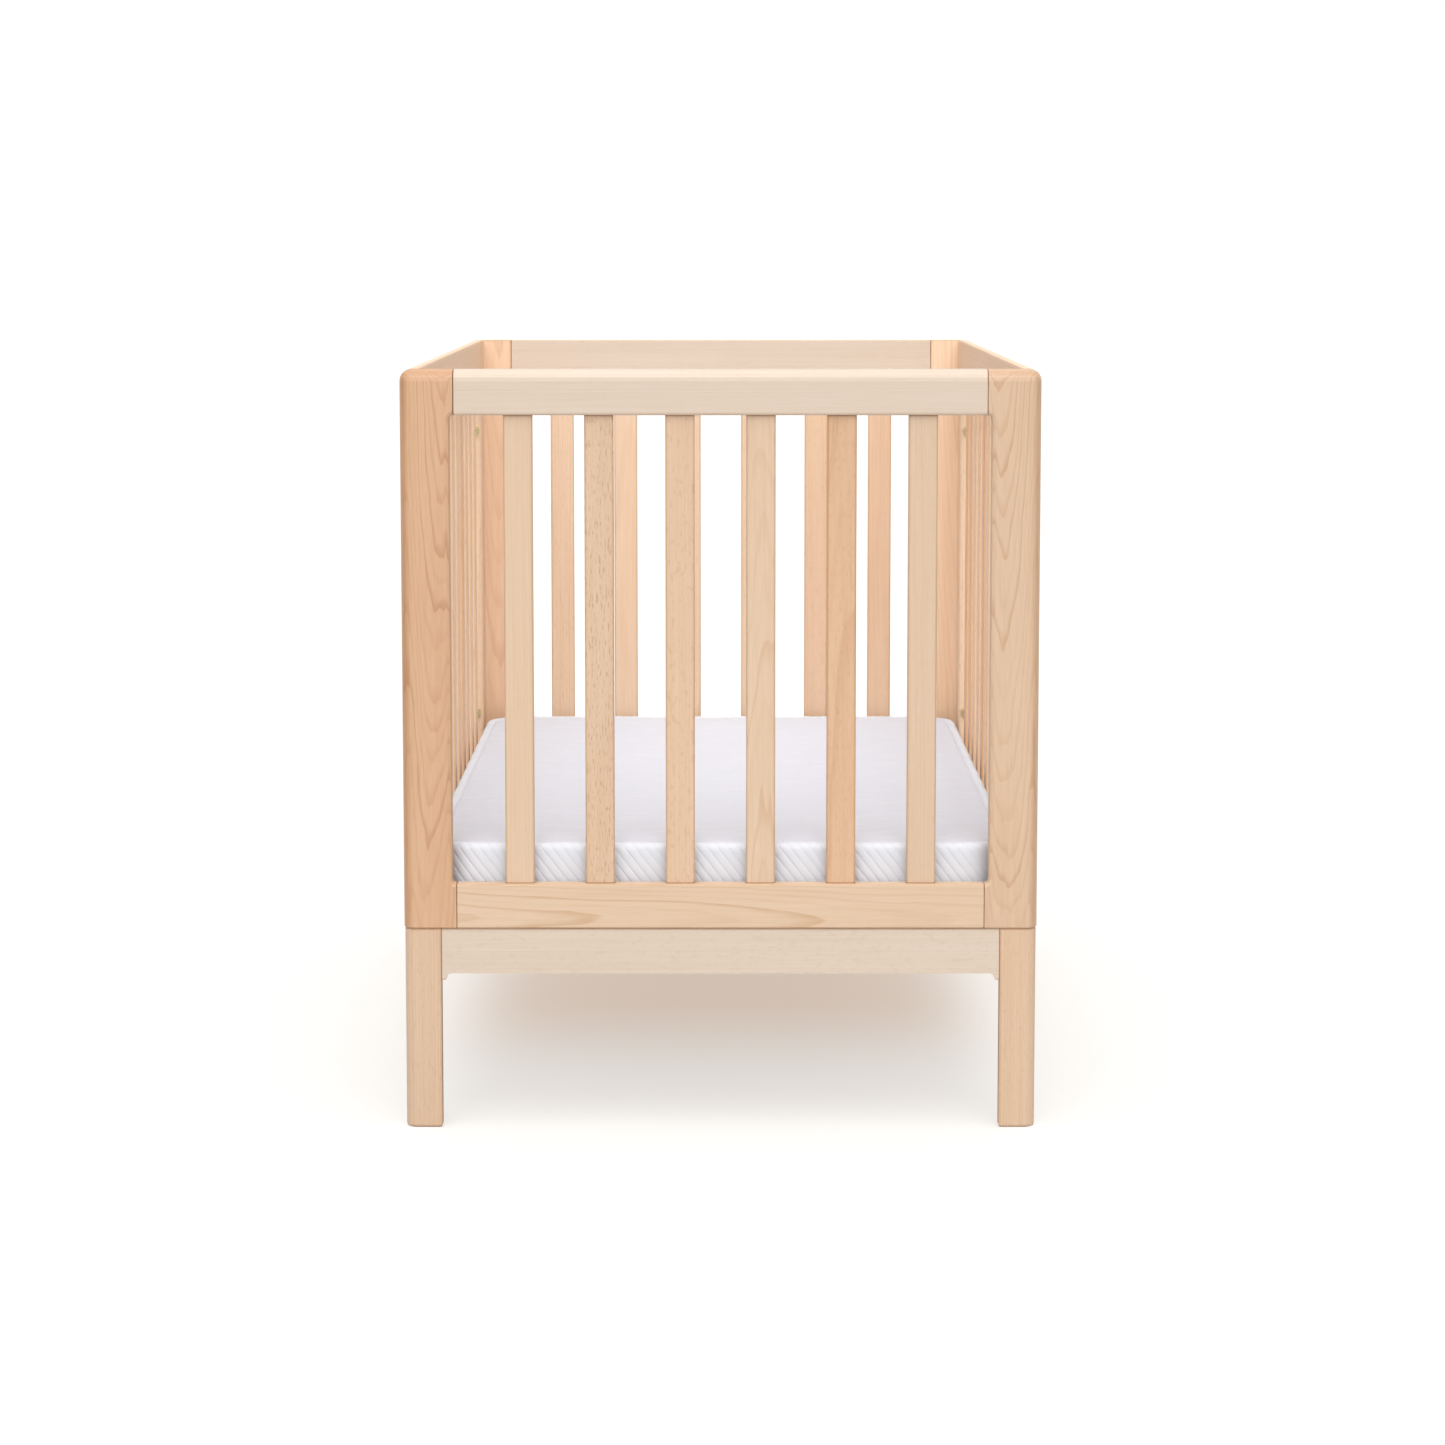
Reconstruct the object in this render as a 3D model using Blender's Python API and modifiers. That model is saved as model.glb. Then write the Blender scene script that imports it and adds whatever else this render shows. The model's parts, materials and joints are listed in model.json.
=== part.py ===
"""Baby crib in solid beech, with a lift-out mattress.

Two slatted end panels, two slatted side panels bolted between them, a separate leg frame
under the panels, a slatted deck on cleats, and the mattress on the deck.

Metres, +Z up. The origin is on the floor, under the middle of the crib. The front end panel
faces -Y. A panel is modelled standing in its own frame: x across it, its outer face on y = 0
and facing -Y, z up from the floor. A turn about Z then brings it to its side of the crib.
"""
import math

import bmesh
import bpy
from mathutils import Matrix, Vector

# ---- overall sizes -------------------------------------------------------------------------
LENGTH = 1.240              # outside, front end to back end
WIDTH = 0.700               # outside, left side to right side
HEIGHT = 0.840              # floor to the top rail's top
BASE_HEIGHT = 0.224         # floor to the joint between the leg frame and the panels
FIT = 0.0003                # gap between two pieces that touch

# ---- boards --------------------------------------------------------------------------------
BOARD = 0.020               # thickness of stiles, rails, legs and aprons
RAIL_HEIGHT = 0.050         # top and bottom rails
STILE_WIDTH = 0.0544        # a stile beside the slats
EAR = 0.0042                # how far a stile widens, through a fillet, to meet a rail
ROUND = 0.013               # the large round-over of outer corners and top outer edges
OPENING_ROUND = 0.004       # round-over along the edges that face the slats
EASE = 0.002                # softened edges of rails and slats
GROOVE_EASE = 0.0015        # softened edges at the joint between panels and leg frame
ARRIS = 0.0004              # an edge that is only just broken, at a shoulder

# ---- slats ---------------------------------------------------------------------------------
SLAT_WIDTH = 0.032
SLAT_THICKNESS = 0.011
SLAT_HOUSING = 0.010        # depth of the pocket that a slat's end sits in
END_SLATS = 6
END_FIRST_GAP = 0.0585      # stile to first slat, on an end panel
SIDE_SLATS = 12
SIDE_FIRST_GAP = 0.0545     # stile to first slat, on a side panel

# ---- mortise and tenon joints --------------------------------------------------------------
TENON_LENGTH = 0.014
TENON_HEIGHT = 0.030
TENON_THICKNESS = 0.009

# ---- leg frame -----------------------------------------------------------------------------
BASE_INSET = 0.0008         # the leg frame stands this far inside the panels
LEG_WIDTH = 0.0404          # each arm of the L-shaped leg
FOOT_EASE = 0.003           # softened edge around the foot
APRON_HEIGHT = 0.050
BRACKET_FLAT = 0.003        # level foot of the little bracket at each end of an apron
BRACKET_NOSE = 0.0025       # its convex corner
BRACKET_COVE = 0.005        # its hollow curve up to the apron
DOWEL_RADIUS = 0.005
DOWEL_HALF = 0.018          # how far a dowel reaches into the leg, and into the stile
DOWEL_INSET = 0.018         # its axis, from the leg frame's outer corner, across the end

# ---- panel bolts ---------------------------------------------------------------------------
BOLT_RADIUS = 0.003
BOLT_REACH = 0.0100         # how far the shank goes into the insert behind the stile
BOLT_CLEARANCE = 0.0005     # around the shank, in the side stile
BOLT_HEAD_RADIUS = 0.00725
BOLT_HEAD_HEIGHT = 0.0032
BOLT_HEAD_EASE = 0.0008
SOCKET_RADIUS = 0.0024      # hexagon socket, to its corners
SOCKET_DEPTH = 0.0034
BOLT_FROM_TOP = 0.123       # upper bolts, below the top of the panels
BOLT_FROM_BOTTOM = 0.102    # lower bolts, above the bottom of the panels
INSERT_RADIUS = 0.005
INSERT_LENGTH = 0.0125

# ---- deck and mattress ---------------------------------------------------------------------
DECK_TOP = 0.218            # floor to the top of the deck
DECK_CLEARANCE = 0.002      # around the deck
DECK_SLATS = 14
DECK_SLAT_WIDTH = 0.055
DECK_SLAT_THICKNESS = 0.008
DECK_SLAT_SINK = 0.003      # how deep the slats are let into the bearers
BEARER_WIDTH = 0.030
BEARER_THICKNESS = 0.012
CLEAT_WIDTH = 0.018
CLEAT_HEIGHT = 0.020
MATTRESS_THICKNESS = 0.100
MATTRESS_CLEARANCE = 0.005  # around the mattress
MATTRESS_CORNER = 0.045     # plan radius of its corners
MATTRESS_EDGE = 0.012       # round-over along its top and bottom

# ---- how finely curves are cut -------------------------------------------------------------
ROUND_STEPS = 5
SMALL_STEPS = 2
ARC_STEPS = 4
TURN_STEPS = 20
SMOOTH_ANGLE = math.radians(40)
NEAR = 0.00005              # two places closer than this are the same place

# ---- colours of the timber, the metal and the cover ----------------------------------------
PALE = (0.80, 0.64, 0.48)
TAN = (0.78, 0.55, 0.36)
ROSE = (0.72, 0.47, 0.30)
PLY = (0.76, 0.60, 0.42)
ZINC = (0.62, 0.58, 0.30)
BRASS = (0.70, 0.55, 0.25)
COVER = (0.86, 0.85, 0.90)

# ---- sizes that follow ---------------------------------------------------------------------
PANEL_BOTTOM = BASE_HEIGHT
SHOULDER = STILE_WIDTH + EAR
SIDE_LENGTH = LENGTH - 2 * (BOARD + FIT)
BASE_TOP = BASE_HEIGHT - FIT
APRON_BOTTOM = BASE_TOP - APRON_HEIGHT
BRACKET_DROP = BRACKET_NOSE + BRACKET_COVE
BOLT_LENGTH = STILE_WIDTH + 2 * FIT + BOLT_REACH
BOLT_HEIGHTS = {"upper": HEIGHT - BOLT_FROM_TOP, "lower": PANEL_BOTTOM + BOLT_FROM_BOTTOM}

# Where each panel stands: its turn about Z, how far out it is, how wide it is, and the names
# of its two stiles, from -x to +x in the panel's own frame.
ENDS = {
    "front_end": (0, LENGTH / 2, WIDTH, ("left", "right")),
    "back_end": (180, LENGTH / 2, WIDTH, ("right", "left")),
}
SIDES = {
    "left_side": (-90, WIDTH / 2, SIDE_LENGTH, ("back", "front")),
    "right_side": (90, WIDTH / 2, SIDE_LENGTH, ("front", "back")),
}


# ---- scene ---------------------------------------------------------------------------------
def clear_scene():
    """Empties the scene, and makes a collection for the parts and one for the cutters."""
    for item in list(bpy.data.objects):
        bpy.data.objects.remove(item)
    collections = []
    for name in ("baby_crib", "cutters"):
        collection = bpy.data.collections.new(name)
        bpy.context.scene.collection.children.link(collection)
        collections.append(collection)
    return collections


PARTS, CUTTERS = clear_scene()


def add_object(name, bm, collection):
    """Puts a bmesh in the scene as an object, and frees it."""
    mesh = bpy.data.meshes.new(name)
    bm.to_mesh(mesh)
    bm.free()
    item = bpy.data.objects.new(name, mesh)
    collection.objects.link(item)
    return item


def part(name, bm, place, colour, roughness=0.45, metallic=0.0):
    """A finished sub-part: smooth over its round edges, in its own material, in its place."""
    item = add_object(name, bm, PARTS)
    item.data.shade_smooth()
    item.data.set_sharp_from_angle(angle=SMOOTH_ANGLE)
    item.matrix_world = place
    material = bpy.data.materials.new(name)
    material.use_nodes = True
    shader = material.node_tree.nodes["Principled BSDF"]
    shader.inputs["Base Color"].default_value = (*colour, 1.0)
    shader.inputs["Roughness"].default_value = roughness
    shader.inputs["Metallic"].default_value = metallic
    item.data.materials.append(material)
    return item


def combine(item, operation, name, bm, place):
    """Cuts a shape out of a part, or joins it on, as a Boolean modifier."""
    tool = add_object(name, bm, CUTTERS)
    tool.matrix_world = place
    tool.hide_render = True
    tool.display_type = "WIRE"
    step = item.modifiers.new(name, "BOOLEAN")
    step.operation = operation
    step.solver = "EXACT"
    step.object = tool
    return tool


# ---- shapes --------------------------------------------------------------------------------
def box(low, high):
    """A plain box between two corners."""
    bm = bmesh.new()
    low = Vector(low)
    high = Vector(high)
    size = high - low
    bmesh.ops.create_cube(bm, size=1.0)
    bmesh.ops.scale(bm, vec=size, verts=bm.verts)
    bmesh.ops.translate(bm, vec=(low + high) / 2, verts=bm.verts)
    return bm


def arc(centre_x, centre_y, radius, start, end, steps=ARC_STEPS):
    """Points along a circle from one angle to another, in degrees, both ends included."""
    points = []
    for step in range(steps + 1):
        angle = math.radians(start + (end - start) * step / steps)
        points.append((centre_x + radius * math.cos(angle), centre_y + radius * math.sin(angle)))
    return points


def extruded(outline, thickness):
    """A flat outline in x and y, as a solid that rises from z = 0 to its thickness."""
    curve = bpy.data.curves.new("outline", "CURVE")
    curve.dimensions = "2D"
    curve.fill_mode = "BOTH"
    curve.extrude = thickness / 2
    spline = curve.splines.new("POLY")
    spline.points.add(len(outline) - 1)
    for point, (x, y) in zip(spline.points, outline):
        point.co = (x, y, 0.0, 1.0)
    spline.use_cyclic_u = True
    guide = bpy.data.objects.new("outline", curve)
    CUTTERS.objects.link(guide)
    depsgraph = bpy.context.evaluated_depsgraph_get()
    mesh = bpy.data.meshes.new_from_object(guide.evaluated_get(depsgraph))
    bm = bmesh.new()
    bm.from_mesh(mesh)
    bpy.data.objects.remove(guide)
    bmesh.ops.remove_doubles(bm, verts=bm.verts, dist=NEAR)
    bmesh.ops.dissolve_limit(bm, angle_limit=math.radians(1), verts=bm.verts, edges=bm.edges)
    bmesh.ops.translate(bm, vec=(0, 0, thickness / 2), verts=bm.verts)
    bmesh.ops.recalc_face_normals(bm, faces=bm.faces)
    return bm


def standing(outline, thickness, front):
    """The same solid stood up: the outline in x and z, its outer face at y = front."""
    bm = extruded(outline, thickness)
    stand_up = Matrix.Rotation(math.radians(90), 4, "X")
    bmesh.ops.transform(bm, matrix=stand_up, verts=bm.verts)
    bmesh.ops.translate(bm, vec=(0, front + thickness, 0), verts=bm.verts)
    return bm


def near(a, b):
    return abs(a - b) < NEAR


def soften(bm, radius, steps, wanted):
    """Rounds the edges whose middle passes a test."""
    edges = []
    for edge in bm.edges:
        middle = (edge.verts[0].co + edge.verts[1].co) / 2
        flat = edge.calc_face_angle(0.0) < math.radians(30)
        if wanted(middle) and not flat:
            edges.append(edge)
    bmesh.ops.bevel(
        bm, geom=edges, offset=radius, segments=steps, profile=0.5,
        affect="EDGES", clamp_overlap=True, loop_slide=True,
    )


def slat_section(width, thickness, ease, low, high):
    """An upright slat with softened long edges, on the origin in x and y."""
    bm = box((-width / 2, -thickness / 2, low), (width / 2, thickness / 2, high))
    soften(bm, ease, SMALL_STEPS, lambda m: near(abs(m.x), width / 2) and near(abs(m.y), thickness / 2))
    return bm


def turned(profile):
    """A round solid: a profile of (radius, height) points, swept by a Screw modifier about Z."""
    bm = bmesh.new()
    verts = [bm.verts.new((radius, 0, height)) for radius, height in profile]
    for a, b in zip(verts, verts[1:]):
        bm.edges.new((a, b))
    item = add_object("profile", bm, CUTTERS)
    sweep = item.modifiers.new("sweep", "SCREW")
    sweep.angle = math.radians(360)
    sweep.steps = TURN_STEPS
    sweep.render_steps = TURN_STEPS
    sweep.use_merge_vertices = True
    sweep.merge_threshold = 0.00001
    depsgraph = bpy.context.evaluated_depsgraph_get()
    mesh = bpy.data.meshes.new_from_object(item.evaluated_get(depsgraph))
    bpy.data.objects.remove(item)
    bm = bmesh.new()
    bm.from_mesh(mesh)
    bmesh.ops.remove_doubles(bm, verts=bm.verts, dist=0.00001)
    return bm


def rod(radius, low, high):
    """A plain round rod along Z."""
    return turned([(0, high), (radius, high), (radius, low), (0, low)])


# ---- places --------------------------------------------------------------------------------
def panel_place(turn, distance):
    """The panel frame's matrix: outer face on y = 0 in it, turned to its side of the crib."""
    return Matrix.Rotation(math.radians(turn), 4, "Z") @ Matrix.Translation((0, -distance, 0))


def slat_places(panel_width, first_gap, count):
    """The slats' middles across a panel, evenly spread between the first and the last."""
    first = -panel_width / 2 + STILE_WIDTH + first_gap + SLAT_WIDTH / 2
    return [first - 2 * first * number / (count - 1) for number in range(count)]


# ---- panel pieces --------------------------------------------------------------------------
def stile_shape(panel_width, hand, corner):
    """A stile. hand is -1 at the panel's -x edge and 1 at +x. A corner stile is an end panel's:
    its outer upright edge and both top outer edges are rounded into each other."""
    height = HEIGHT - PANEL_BOTTOM
    outer = hand * panel_width / 2
    lower = arc(SHOULDER, RAIL_HEIGHT + EAR, EAR, 270, 180)
    upper = arc(SHOULDER, height - RAIL_HEIGHT - EAR, EAR, 180, 90)
    across = [(0, 0), (SHOULDER, 0), *lower, *upper, (SHOULDER, height), (0, height)]
    outline = [(outer - hand * x, PANEL_BOTTOM + z) for x, z in across]
    bm = standing(outline, BOARD, 0)
    shoulder = outer - hand * SHOULDER

    def top_outer(m):
        along_top = near(m.z, HEIGHT) and near(m.y, 0)
        around_corner = near(m.x, outer) and (near(m.y, 0) or near(m.z, HEIGHT))
        return along_top or (corner and around_corner)

    def opening(m):
        beside = abs(m.x - outer) > STILE_WIDTH - NEAR and (near(m.y, 0) or near(m.y, BOARD))
        return beside and PANEL_BOTTOM + RAIL_HEIGHT - NEAR < m.z < HEIGHT - RAIL_HEIGHT + NEAR

    def bottom(m):
        return near(m.z, PANEL_BOTTOM) and not near(m.x, shoulder)

    soften(bm, ROUND, ROUND_STEPS, top_outer)
    soften(bm, OPENING_ROUND, SMALL_STEPS, opening)
    soften(bm, GROOVE_EASE, 1, bottom)
    soften(bm, EASE, SMALL_STEPS, lambda m: near(m.z, HEIGHT) and near(m.y, BOARD))
    soften(bm, ARRIS, 1, lambda m: near(m.x, shoulder))
    return bm


def rail_shape(panel_width, low, is_top):
    """A rail between two stiles, without its tenons."""
    half = panel_width / 2 - SHOULDER - FIT
    high = low + RAIL_HEIGHT
    bm = box((-half, 0, low), (half, BOARD, high))
    if is_top:
        soften(bm, ROUND, ROUND_STEPS, lambda m: near(m.z, high) and near(m.y, 0))
        soften(bm, EASE, SMALL_STEPS, lambda m: near(m.x, 0) and near(m.y, BOARD))
        soften(bm, EASE, SMALL_STEPS, lambda m: near(m.x, 0) and near(m.z, low) and near(m.y, 0))
    else:
        soften(bm, EASE, SMALL_STEPS, lambda m: near(m.x, 0) and near(m.z, high))
        soften(bm, GROOVE_EASE, 1, lambda m: near(m.x, 0) and near(m.z, low))
    soften(bm, ARRIS, 1, lambda m: near(abs(m.x), half))
    return bm


def tenon_bar(panel_width, middle, clearance):
    """The bar whose two ends are a rail's tenons; with a clearance, it cuts their mortises."""
    reach = panel_width / 2 - SHOULDER - FIT + TENON_LENGTH + clearance
    half_thickness = TENON_THICKNESS / 2 + clearance
    half_height = TENON_HEIGHT / 2 + clearance
    return box(
        (-reach, BOARD / 2 - half_thickness, middle - half_height),
        (reach, BOARD / 2 + half_thickness, middle + half_height),
    )


def rail_middles():
    half = RAIL_HEIGHT / 2
    return {"bottom": PANEL_BOTTOM + half, "top": HEIGHT - half}


def slat_solid(x, clearance, low, high):
    """A slat, or with a clearance the cutter of its pockets, at its place in the panel."""
    width = SLAT_WIDTH + 2 * clearance
    thickness = SLAT_THICKNESS + 2 * clearance
    bm = slat_section(width, thickness, EASE + clearance, low, high)
    bmesh.ops.translate(bm, vec=(x, BOARD / 2, 0), verts=bm.verts)
    return bm


def add_stiles(panel, place, panel_width, names, corner, colour):
    """Both stiles of a panel, mortised for the rails' tenons."""
    stiles = {}
    for hand, name in zip((-1, 1), names):
        stile = part(f"{panel}_{name}_stile", stile_shape(panel_width, hand, corner), place, colour)
        for level, middle in rail_middles().items():
            mortise = tenon_bar(panel_width, middle, FIT)
            combine(stile, "DIFFERENCE", f"{stile.name}_{level}_mortise", mortise, place)
        stiles[name] = stile
    return stiles


def add_rail(name, place, panel_width, is_top, colour):
    """A top or bottom rail with its two tenons."""
    middle = rail_middles()["top" if is_top else "bottom"]
    shape = rail_shape(panel_width, middle - RAIL_HEIGHT / 2, is_top)
    rail = part(name, shape, place, colour)
    combine(rail, "UNION", f"{name}_tenons", tenon_bar(panel_width, middle, 0), place)
    return rail


def cut_pockets(rail, place, places, low, high):
    """The pockets along a rail that the slats' ends sit in."""
    for number, x in enumerate(places, 1):
        pocket = slat_solid(x, FIT, low - FIT, high + FIT)
        combine(rail, "DIFFERENCE", f"{rail.name}_pocket_{number}", pocket, place)


def end_panel(panel, turn, distance, panel_width, names):
    """An end panel: two corner stiles, two rails, and slats that are pieces of their own."""
    place = panel_place(turn, distance)
    add_stiles(panel, place, panel_width, names, True, TAN)
    top = add_rail(f"{panel}_top_rail", place, panel_width, True, PALE)
    bottom = add_rail(f"{panel}_bottom_rail", place, panel_width, False, TAN)
    places = slat_places(panel_width, END_FIRST_GAP, END_SLATS)
    low = PANEL_BOTTOM + RAIL_HEIGHT - SLAT_HOUSING
    high = HEIGHT - RAIL_HEIGHT + SLAT_HOUSING
    cut_pockets(top, place, places, low, high)
    cut_pockets(bottom, place, places, low, high)
    tones = (PALE, ROSE, TAN)
    for number, x in enumerate(places, 1):
        tone = tones[(number - 1) % len(tones)]
        part(f"{panel}_slat_{number}", slat_solid(x, 0, low, high), place, tone)


def side_panel(panel, turn, distance, panel_width, names):
    """A side panel. Its slats are glued into the bottom rail, and are one piece with it."""
    place = panel_place(turn, distance)
    stiles = add_stiles(panel, place, panel_width, names, False, TAN)
    top = add_rail(f"{panel}_top_rail", place, panel_width, True, TAN)
    bottom = add_rail(f"{panel}_slats_and_bottom_rail", place, panel_width, False, TAN)
    places = slat_places(panel_width, SIDE_FIRST_GAP, SIDE_SLATS)
    low = PANEL_BOTTOM + RAIL_HEIGHT - SLAT_HOUSING
    high = HEIGHT - RAIL_HEIGHT + SLAT_HOUSING
    cut_pockets(top, place, places, low, high)
    for number, x in enumerate(places, 1):
        slat = slat_solid(x, 0, low, high)
        combine(bottom, "UNION", f"{panel}_slat_{number}", slat, place)
    return stiles


# ---- leg frame -----------------------------------------------------------------------------
def leg_shape(side, end):
    """An L-shaped leg at the corner given by two signs, across the crib and along it."""
    corner_x = side * (WIDTH / 2 - BASE_INSET)
    corner_y = end * (LENGTH / 2 - BASE_INSET)
    plan = [(0, 0), (LEG_WIDTH, 0), (LEG_WIDTH, BOARD), (BOARD, BOARD), (BOARD, LEG_WIDTH), (0, LEG_WIDTH)]
    outline = [(corner_x - side * x, corner_y - end * y) for x, y in plan]
    bm = extruded(outline, BASE_TOP)
    arm_end_x = corner_x - side * LEG_WIDTH
    arm_end_y = corner_y - end * LEG_WIDTH
    inner_x = corner_x - side * BOARD
    inner_y = corner_y - end * BOARD

    def inner_arris(m):
        return near(m.x, arm_end_x) and near(m.y, inner_y) or near(m.x, inner_x) and near(m.y, arm_end_y)

    def arm_end(m):
        return near(m.x, arm_end_x) or near(m.y, arm_end_y)

    soften(bm, ROUND, ROUND_STEPS, lambda m: near(m.x, corner_x) and near(m.y, corner_y))
    soften(bm, EASE, 1, inner_arris)
    soften(bm, FOOT_EASE, SMALL_STEPS, lambda m: near(m.z, 0))
    soften(bm, GROOVE_EASE, 1, lambda m: near(m.z, BASE_TOP) and not arm_end(m))
    return bm


def apron_shape(half):
    """An apron in the panel frame, with a small bracket at each end."""
    foot = APRON_BOTTOM - BRACKET_DROP
    nose_x = BRACKET_FLAT
    cove_x = BRACKET_FLAT + BRACKET_NOSE + BRACKET_COVE
    nose = arc(nose_x, foot + BRACKET_NOSE, BRACKET_NOSE, 270, 360, 3)
    cove = arc(cove_x, APRON_BOTTOM - BRACKET_COVE, BRACKET_COVE, 180, 90)
    bracket = [(0, foot), *nose, *cove[1:]]
    left = [(x - half, z) for x, z in bracket]
    right = [(half - x, z) for x, z in reversed(bracket)]
    outline = [(-half, BASE_TOP), *left, *right, (half, BASE_TOP)]
    bm = standing(outline, BOARD, BASE_INSET)
    soften(bm, GROOVE_EASE, 1, lambda m: near(m.z, BASE_TOP) and near(m.x, 0))
    return bm


def apron_tenons(half, clearance):
    """The bar whose two ends are an apron's tenons, or the cutter of their mortises."""
    reach = half + TENON_LENGTH + clearance
    middle_y = BASE_INSET + BOARD / 2
    middle_z = BASE_TOP - APRON_HEIGHT / 2
    half_thickness = TENON_THICKNESS / 2 + clearance
    half_height = TENON_HEIGHT / 2 + clearance
    return box(
        (-reach, middle_y - half_thickness, middle_z - half_height),
        (reach, middle_y + half_thickness, middle_z + half_height),
    )


def leg_frame():
    """Four legs, four aprons tenoned between them, and the dowels that hold the panels."""
    legs = {}
    for end_name, end in (("front", -1), ("back", 1)):
        for side_name, side in (("left", -1), ("right", 1)):
            name = f"{end_name}_{side_name}_leg"
            legs[(side, end)] = part(name, leg_shape(side, end), Matrix.Identity(4), TAN)
    aprons = {
        "front_apron": (0, LENGTH / 2, WIDTH, [(-1, -1), (1, -1)]),
        "back_apron": (180, LENGTH / 2, WIDTH, [(1, 1), (-1, 1)]),
        "left_apron": (-90, WIDTH / 2, LENGTH, [(-1, 1), (-1, -1)]),
        "right_apron": (90, WIDTH / 2, LENGTH, [(1, -1), (1, 1)]),
    }
    for name, (turn, distance, outer, corners) in aprons.items():
        place = panel_place(turn, distance)
        half = outer / 2 - BASE_INSET - LEG_WIDTH - FIT
        apron = part(name, apron_shape(half), place, PALE)
        combine(apron, "UNION", f"{name}_tenons", apron_tenons(half, 0), place)
        for corner in corners:
            mortise = apron_tenons(half, FIT)
            combine(legs[corner], "DIFFERENCE", f"{name}_mortise", mortise, place)
    return legs


def leg_dowels(legs):
    """A dowel at each corner, from the top of the leg into the end panel's stile."""
    for (side, end), leg in legs.items():
        corner = leg.name.removesuffix("_leg")
        end_name, side_name = corner.split("_")
        x = side * (WIDTH / 2 - BASE_INSET - DOWEL_INSET)
        y = end * (LENGTH / 2 - BASE_INSET - BOARD / 2)
        place = Matrix.Translation((x, y, BASE_HEIGHT))
        part(f"{corner}_leg_dowel", rod(DOWEL_RADIUS, -DOWEL_HALF, DOWEL_HALF), place, PLY)
        stile = PARTS.objects[f"{end_name}_end_{side_name}_stile"]
        for item in (leg, stile):
            hole = rod(DOWEL_RADIUS + FIT, -DOWEL_HALF - FIT, DOWEL_HALF + FIT)
            combine(item, "DIFFERENCE", f"{item.name}_dowel_hole", hole, place)


# ---- panel bolts ---------------------------------------------------------------------------
def bolt_shape():
    """A flat-headed bolt along Z: the head stands on z = 0 and the shank hangs below."""
    head = BOLT_HEAD_RADIUS
    tip = -BOLT_LENGTH
    return turned([
        (0, BOLT_HEAD_HEIGHT),
        (head - BOLT_HEAD_EASE, BOLT_HEAD_HEIGHT),
        (head, BOLT_HEAD_HEIGHT - BOLT_HEAD_EASE),
        (head, FIT),
        (BOLT_RADIUS, FIT),
        (BOLT_RADIUS, tip + BOLT_HEAD_EASE),
        (BOLT_RADIUS - BOLT_HEAD_EASE, tip),
        (0, tip),
    ])


def socket_shape():
    """The hexagon socket's cutter, from above the head down to the socket's floor."""
    bm = bmesh.new()
    floor = BOLT_HEAD_HEIGHT - SOCKET_DEPTH
    top = BOLT_HEAD_HEIGHT + SOCKET_DEPTH
    bmesh.ops.create_cone(
        bm, cap_ends=True, segments=6, radius1=SOCKET_RADIUS, radius2=SOCKET_RADIUS,
        depth=top - floor,
    )
    bmesh.ops.translate(bm, vec=(0, 0, (floor + top) / 2), verts=bm.verts)
    return bm


def insert_shape(start):
    """A threaded insert along Z, a plain sleeve below the height given."""
    inner = BOLT_RADIUS + FIT
    end = start - INSERT_LENGTH
    return turned([
        (inner, start), (INSERT_RADIUS, start), (INSERT_RADIUS, end), (inner, end), (inner, start),
    ])


def panel_bolts(side_stiles):
    """Each side stile is held to the end stile behind it by an upper and a lower bolt."""
    head_face = LENGTH / 2 - BOARD - FIT - STILE_WIDTH
    insert_start = -STILE_WIDTH - 2 * FIT
    for (side_name, end_name), stile in side_stiles.items():
        side = -1 if side_name == "left" else 1
        end = -1 if end_name == "front" else 1
        end_stile = PARTS.objects[f"{end_name}_end_{side_name}_stile"]
        for level, height in BOLT_HEIGHTS.items():
            name = f"{end_name}_{side_name}_{level}"
            at = Matrix.Translation((side * (WIDTH / 2 - BOARD / 2), end * head_face, height))
            place = at @ Matrix.Rotation(math.radians(90 * end), 4, "X")
            bolt = part(f"{name}_bolt", bolt_shape(), place, ZINC, 0.35, 1.0)
            combine(bolt, "DIFFERENCE", f"{name}_socket", socket_shape(), place)
            part(f"{name}_insert", insert_shape(insert_start), place, BRASS, 0.35, 1.0)
            bore = rod(BOLT_RADIUS + BOLT_CLEARANCE, -2 * STILE_WIDTH, BOLT_HEAD_HEIGHT)
            combine(stile, "DIFFERENCE", f"{name}_bore", bore, place)
            depth = insert_start - INSERT_LENGTH - FIT
            pocket = rod(INSERT_RADIUS + FIT, depth, insert_start + INSERT_LENGTH)
            combine(end_stile, "DIFFERENCE", f"{name}_insert_hole", pocket, place)


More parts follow.
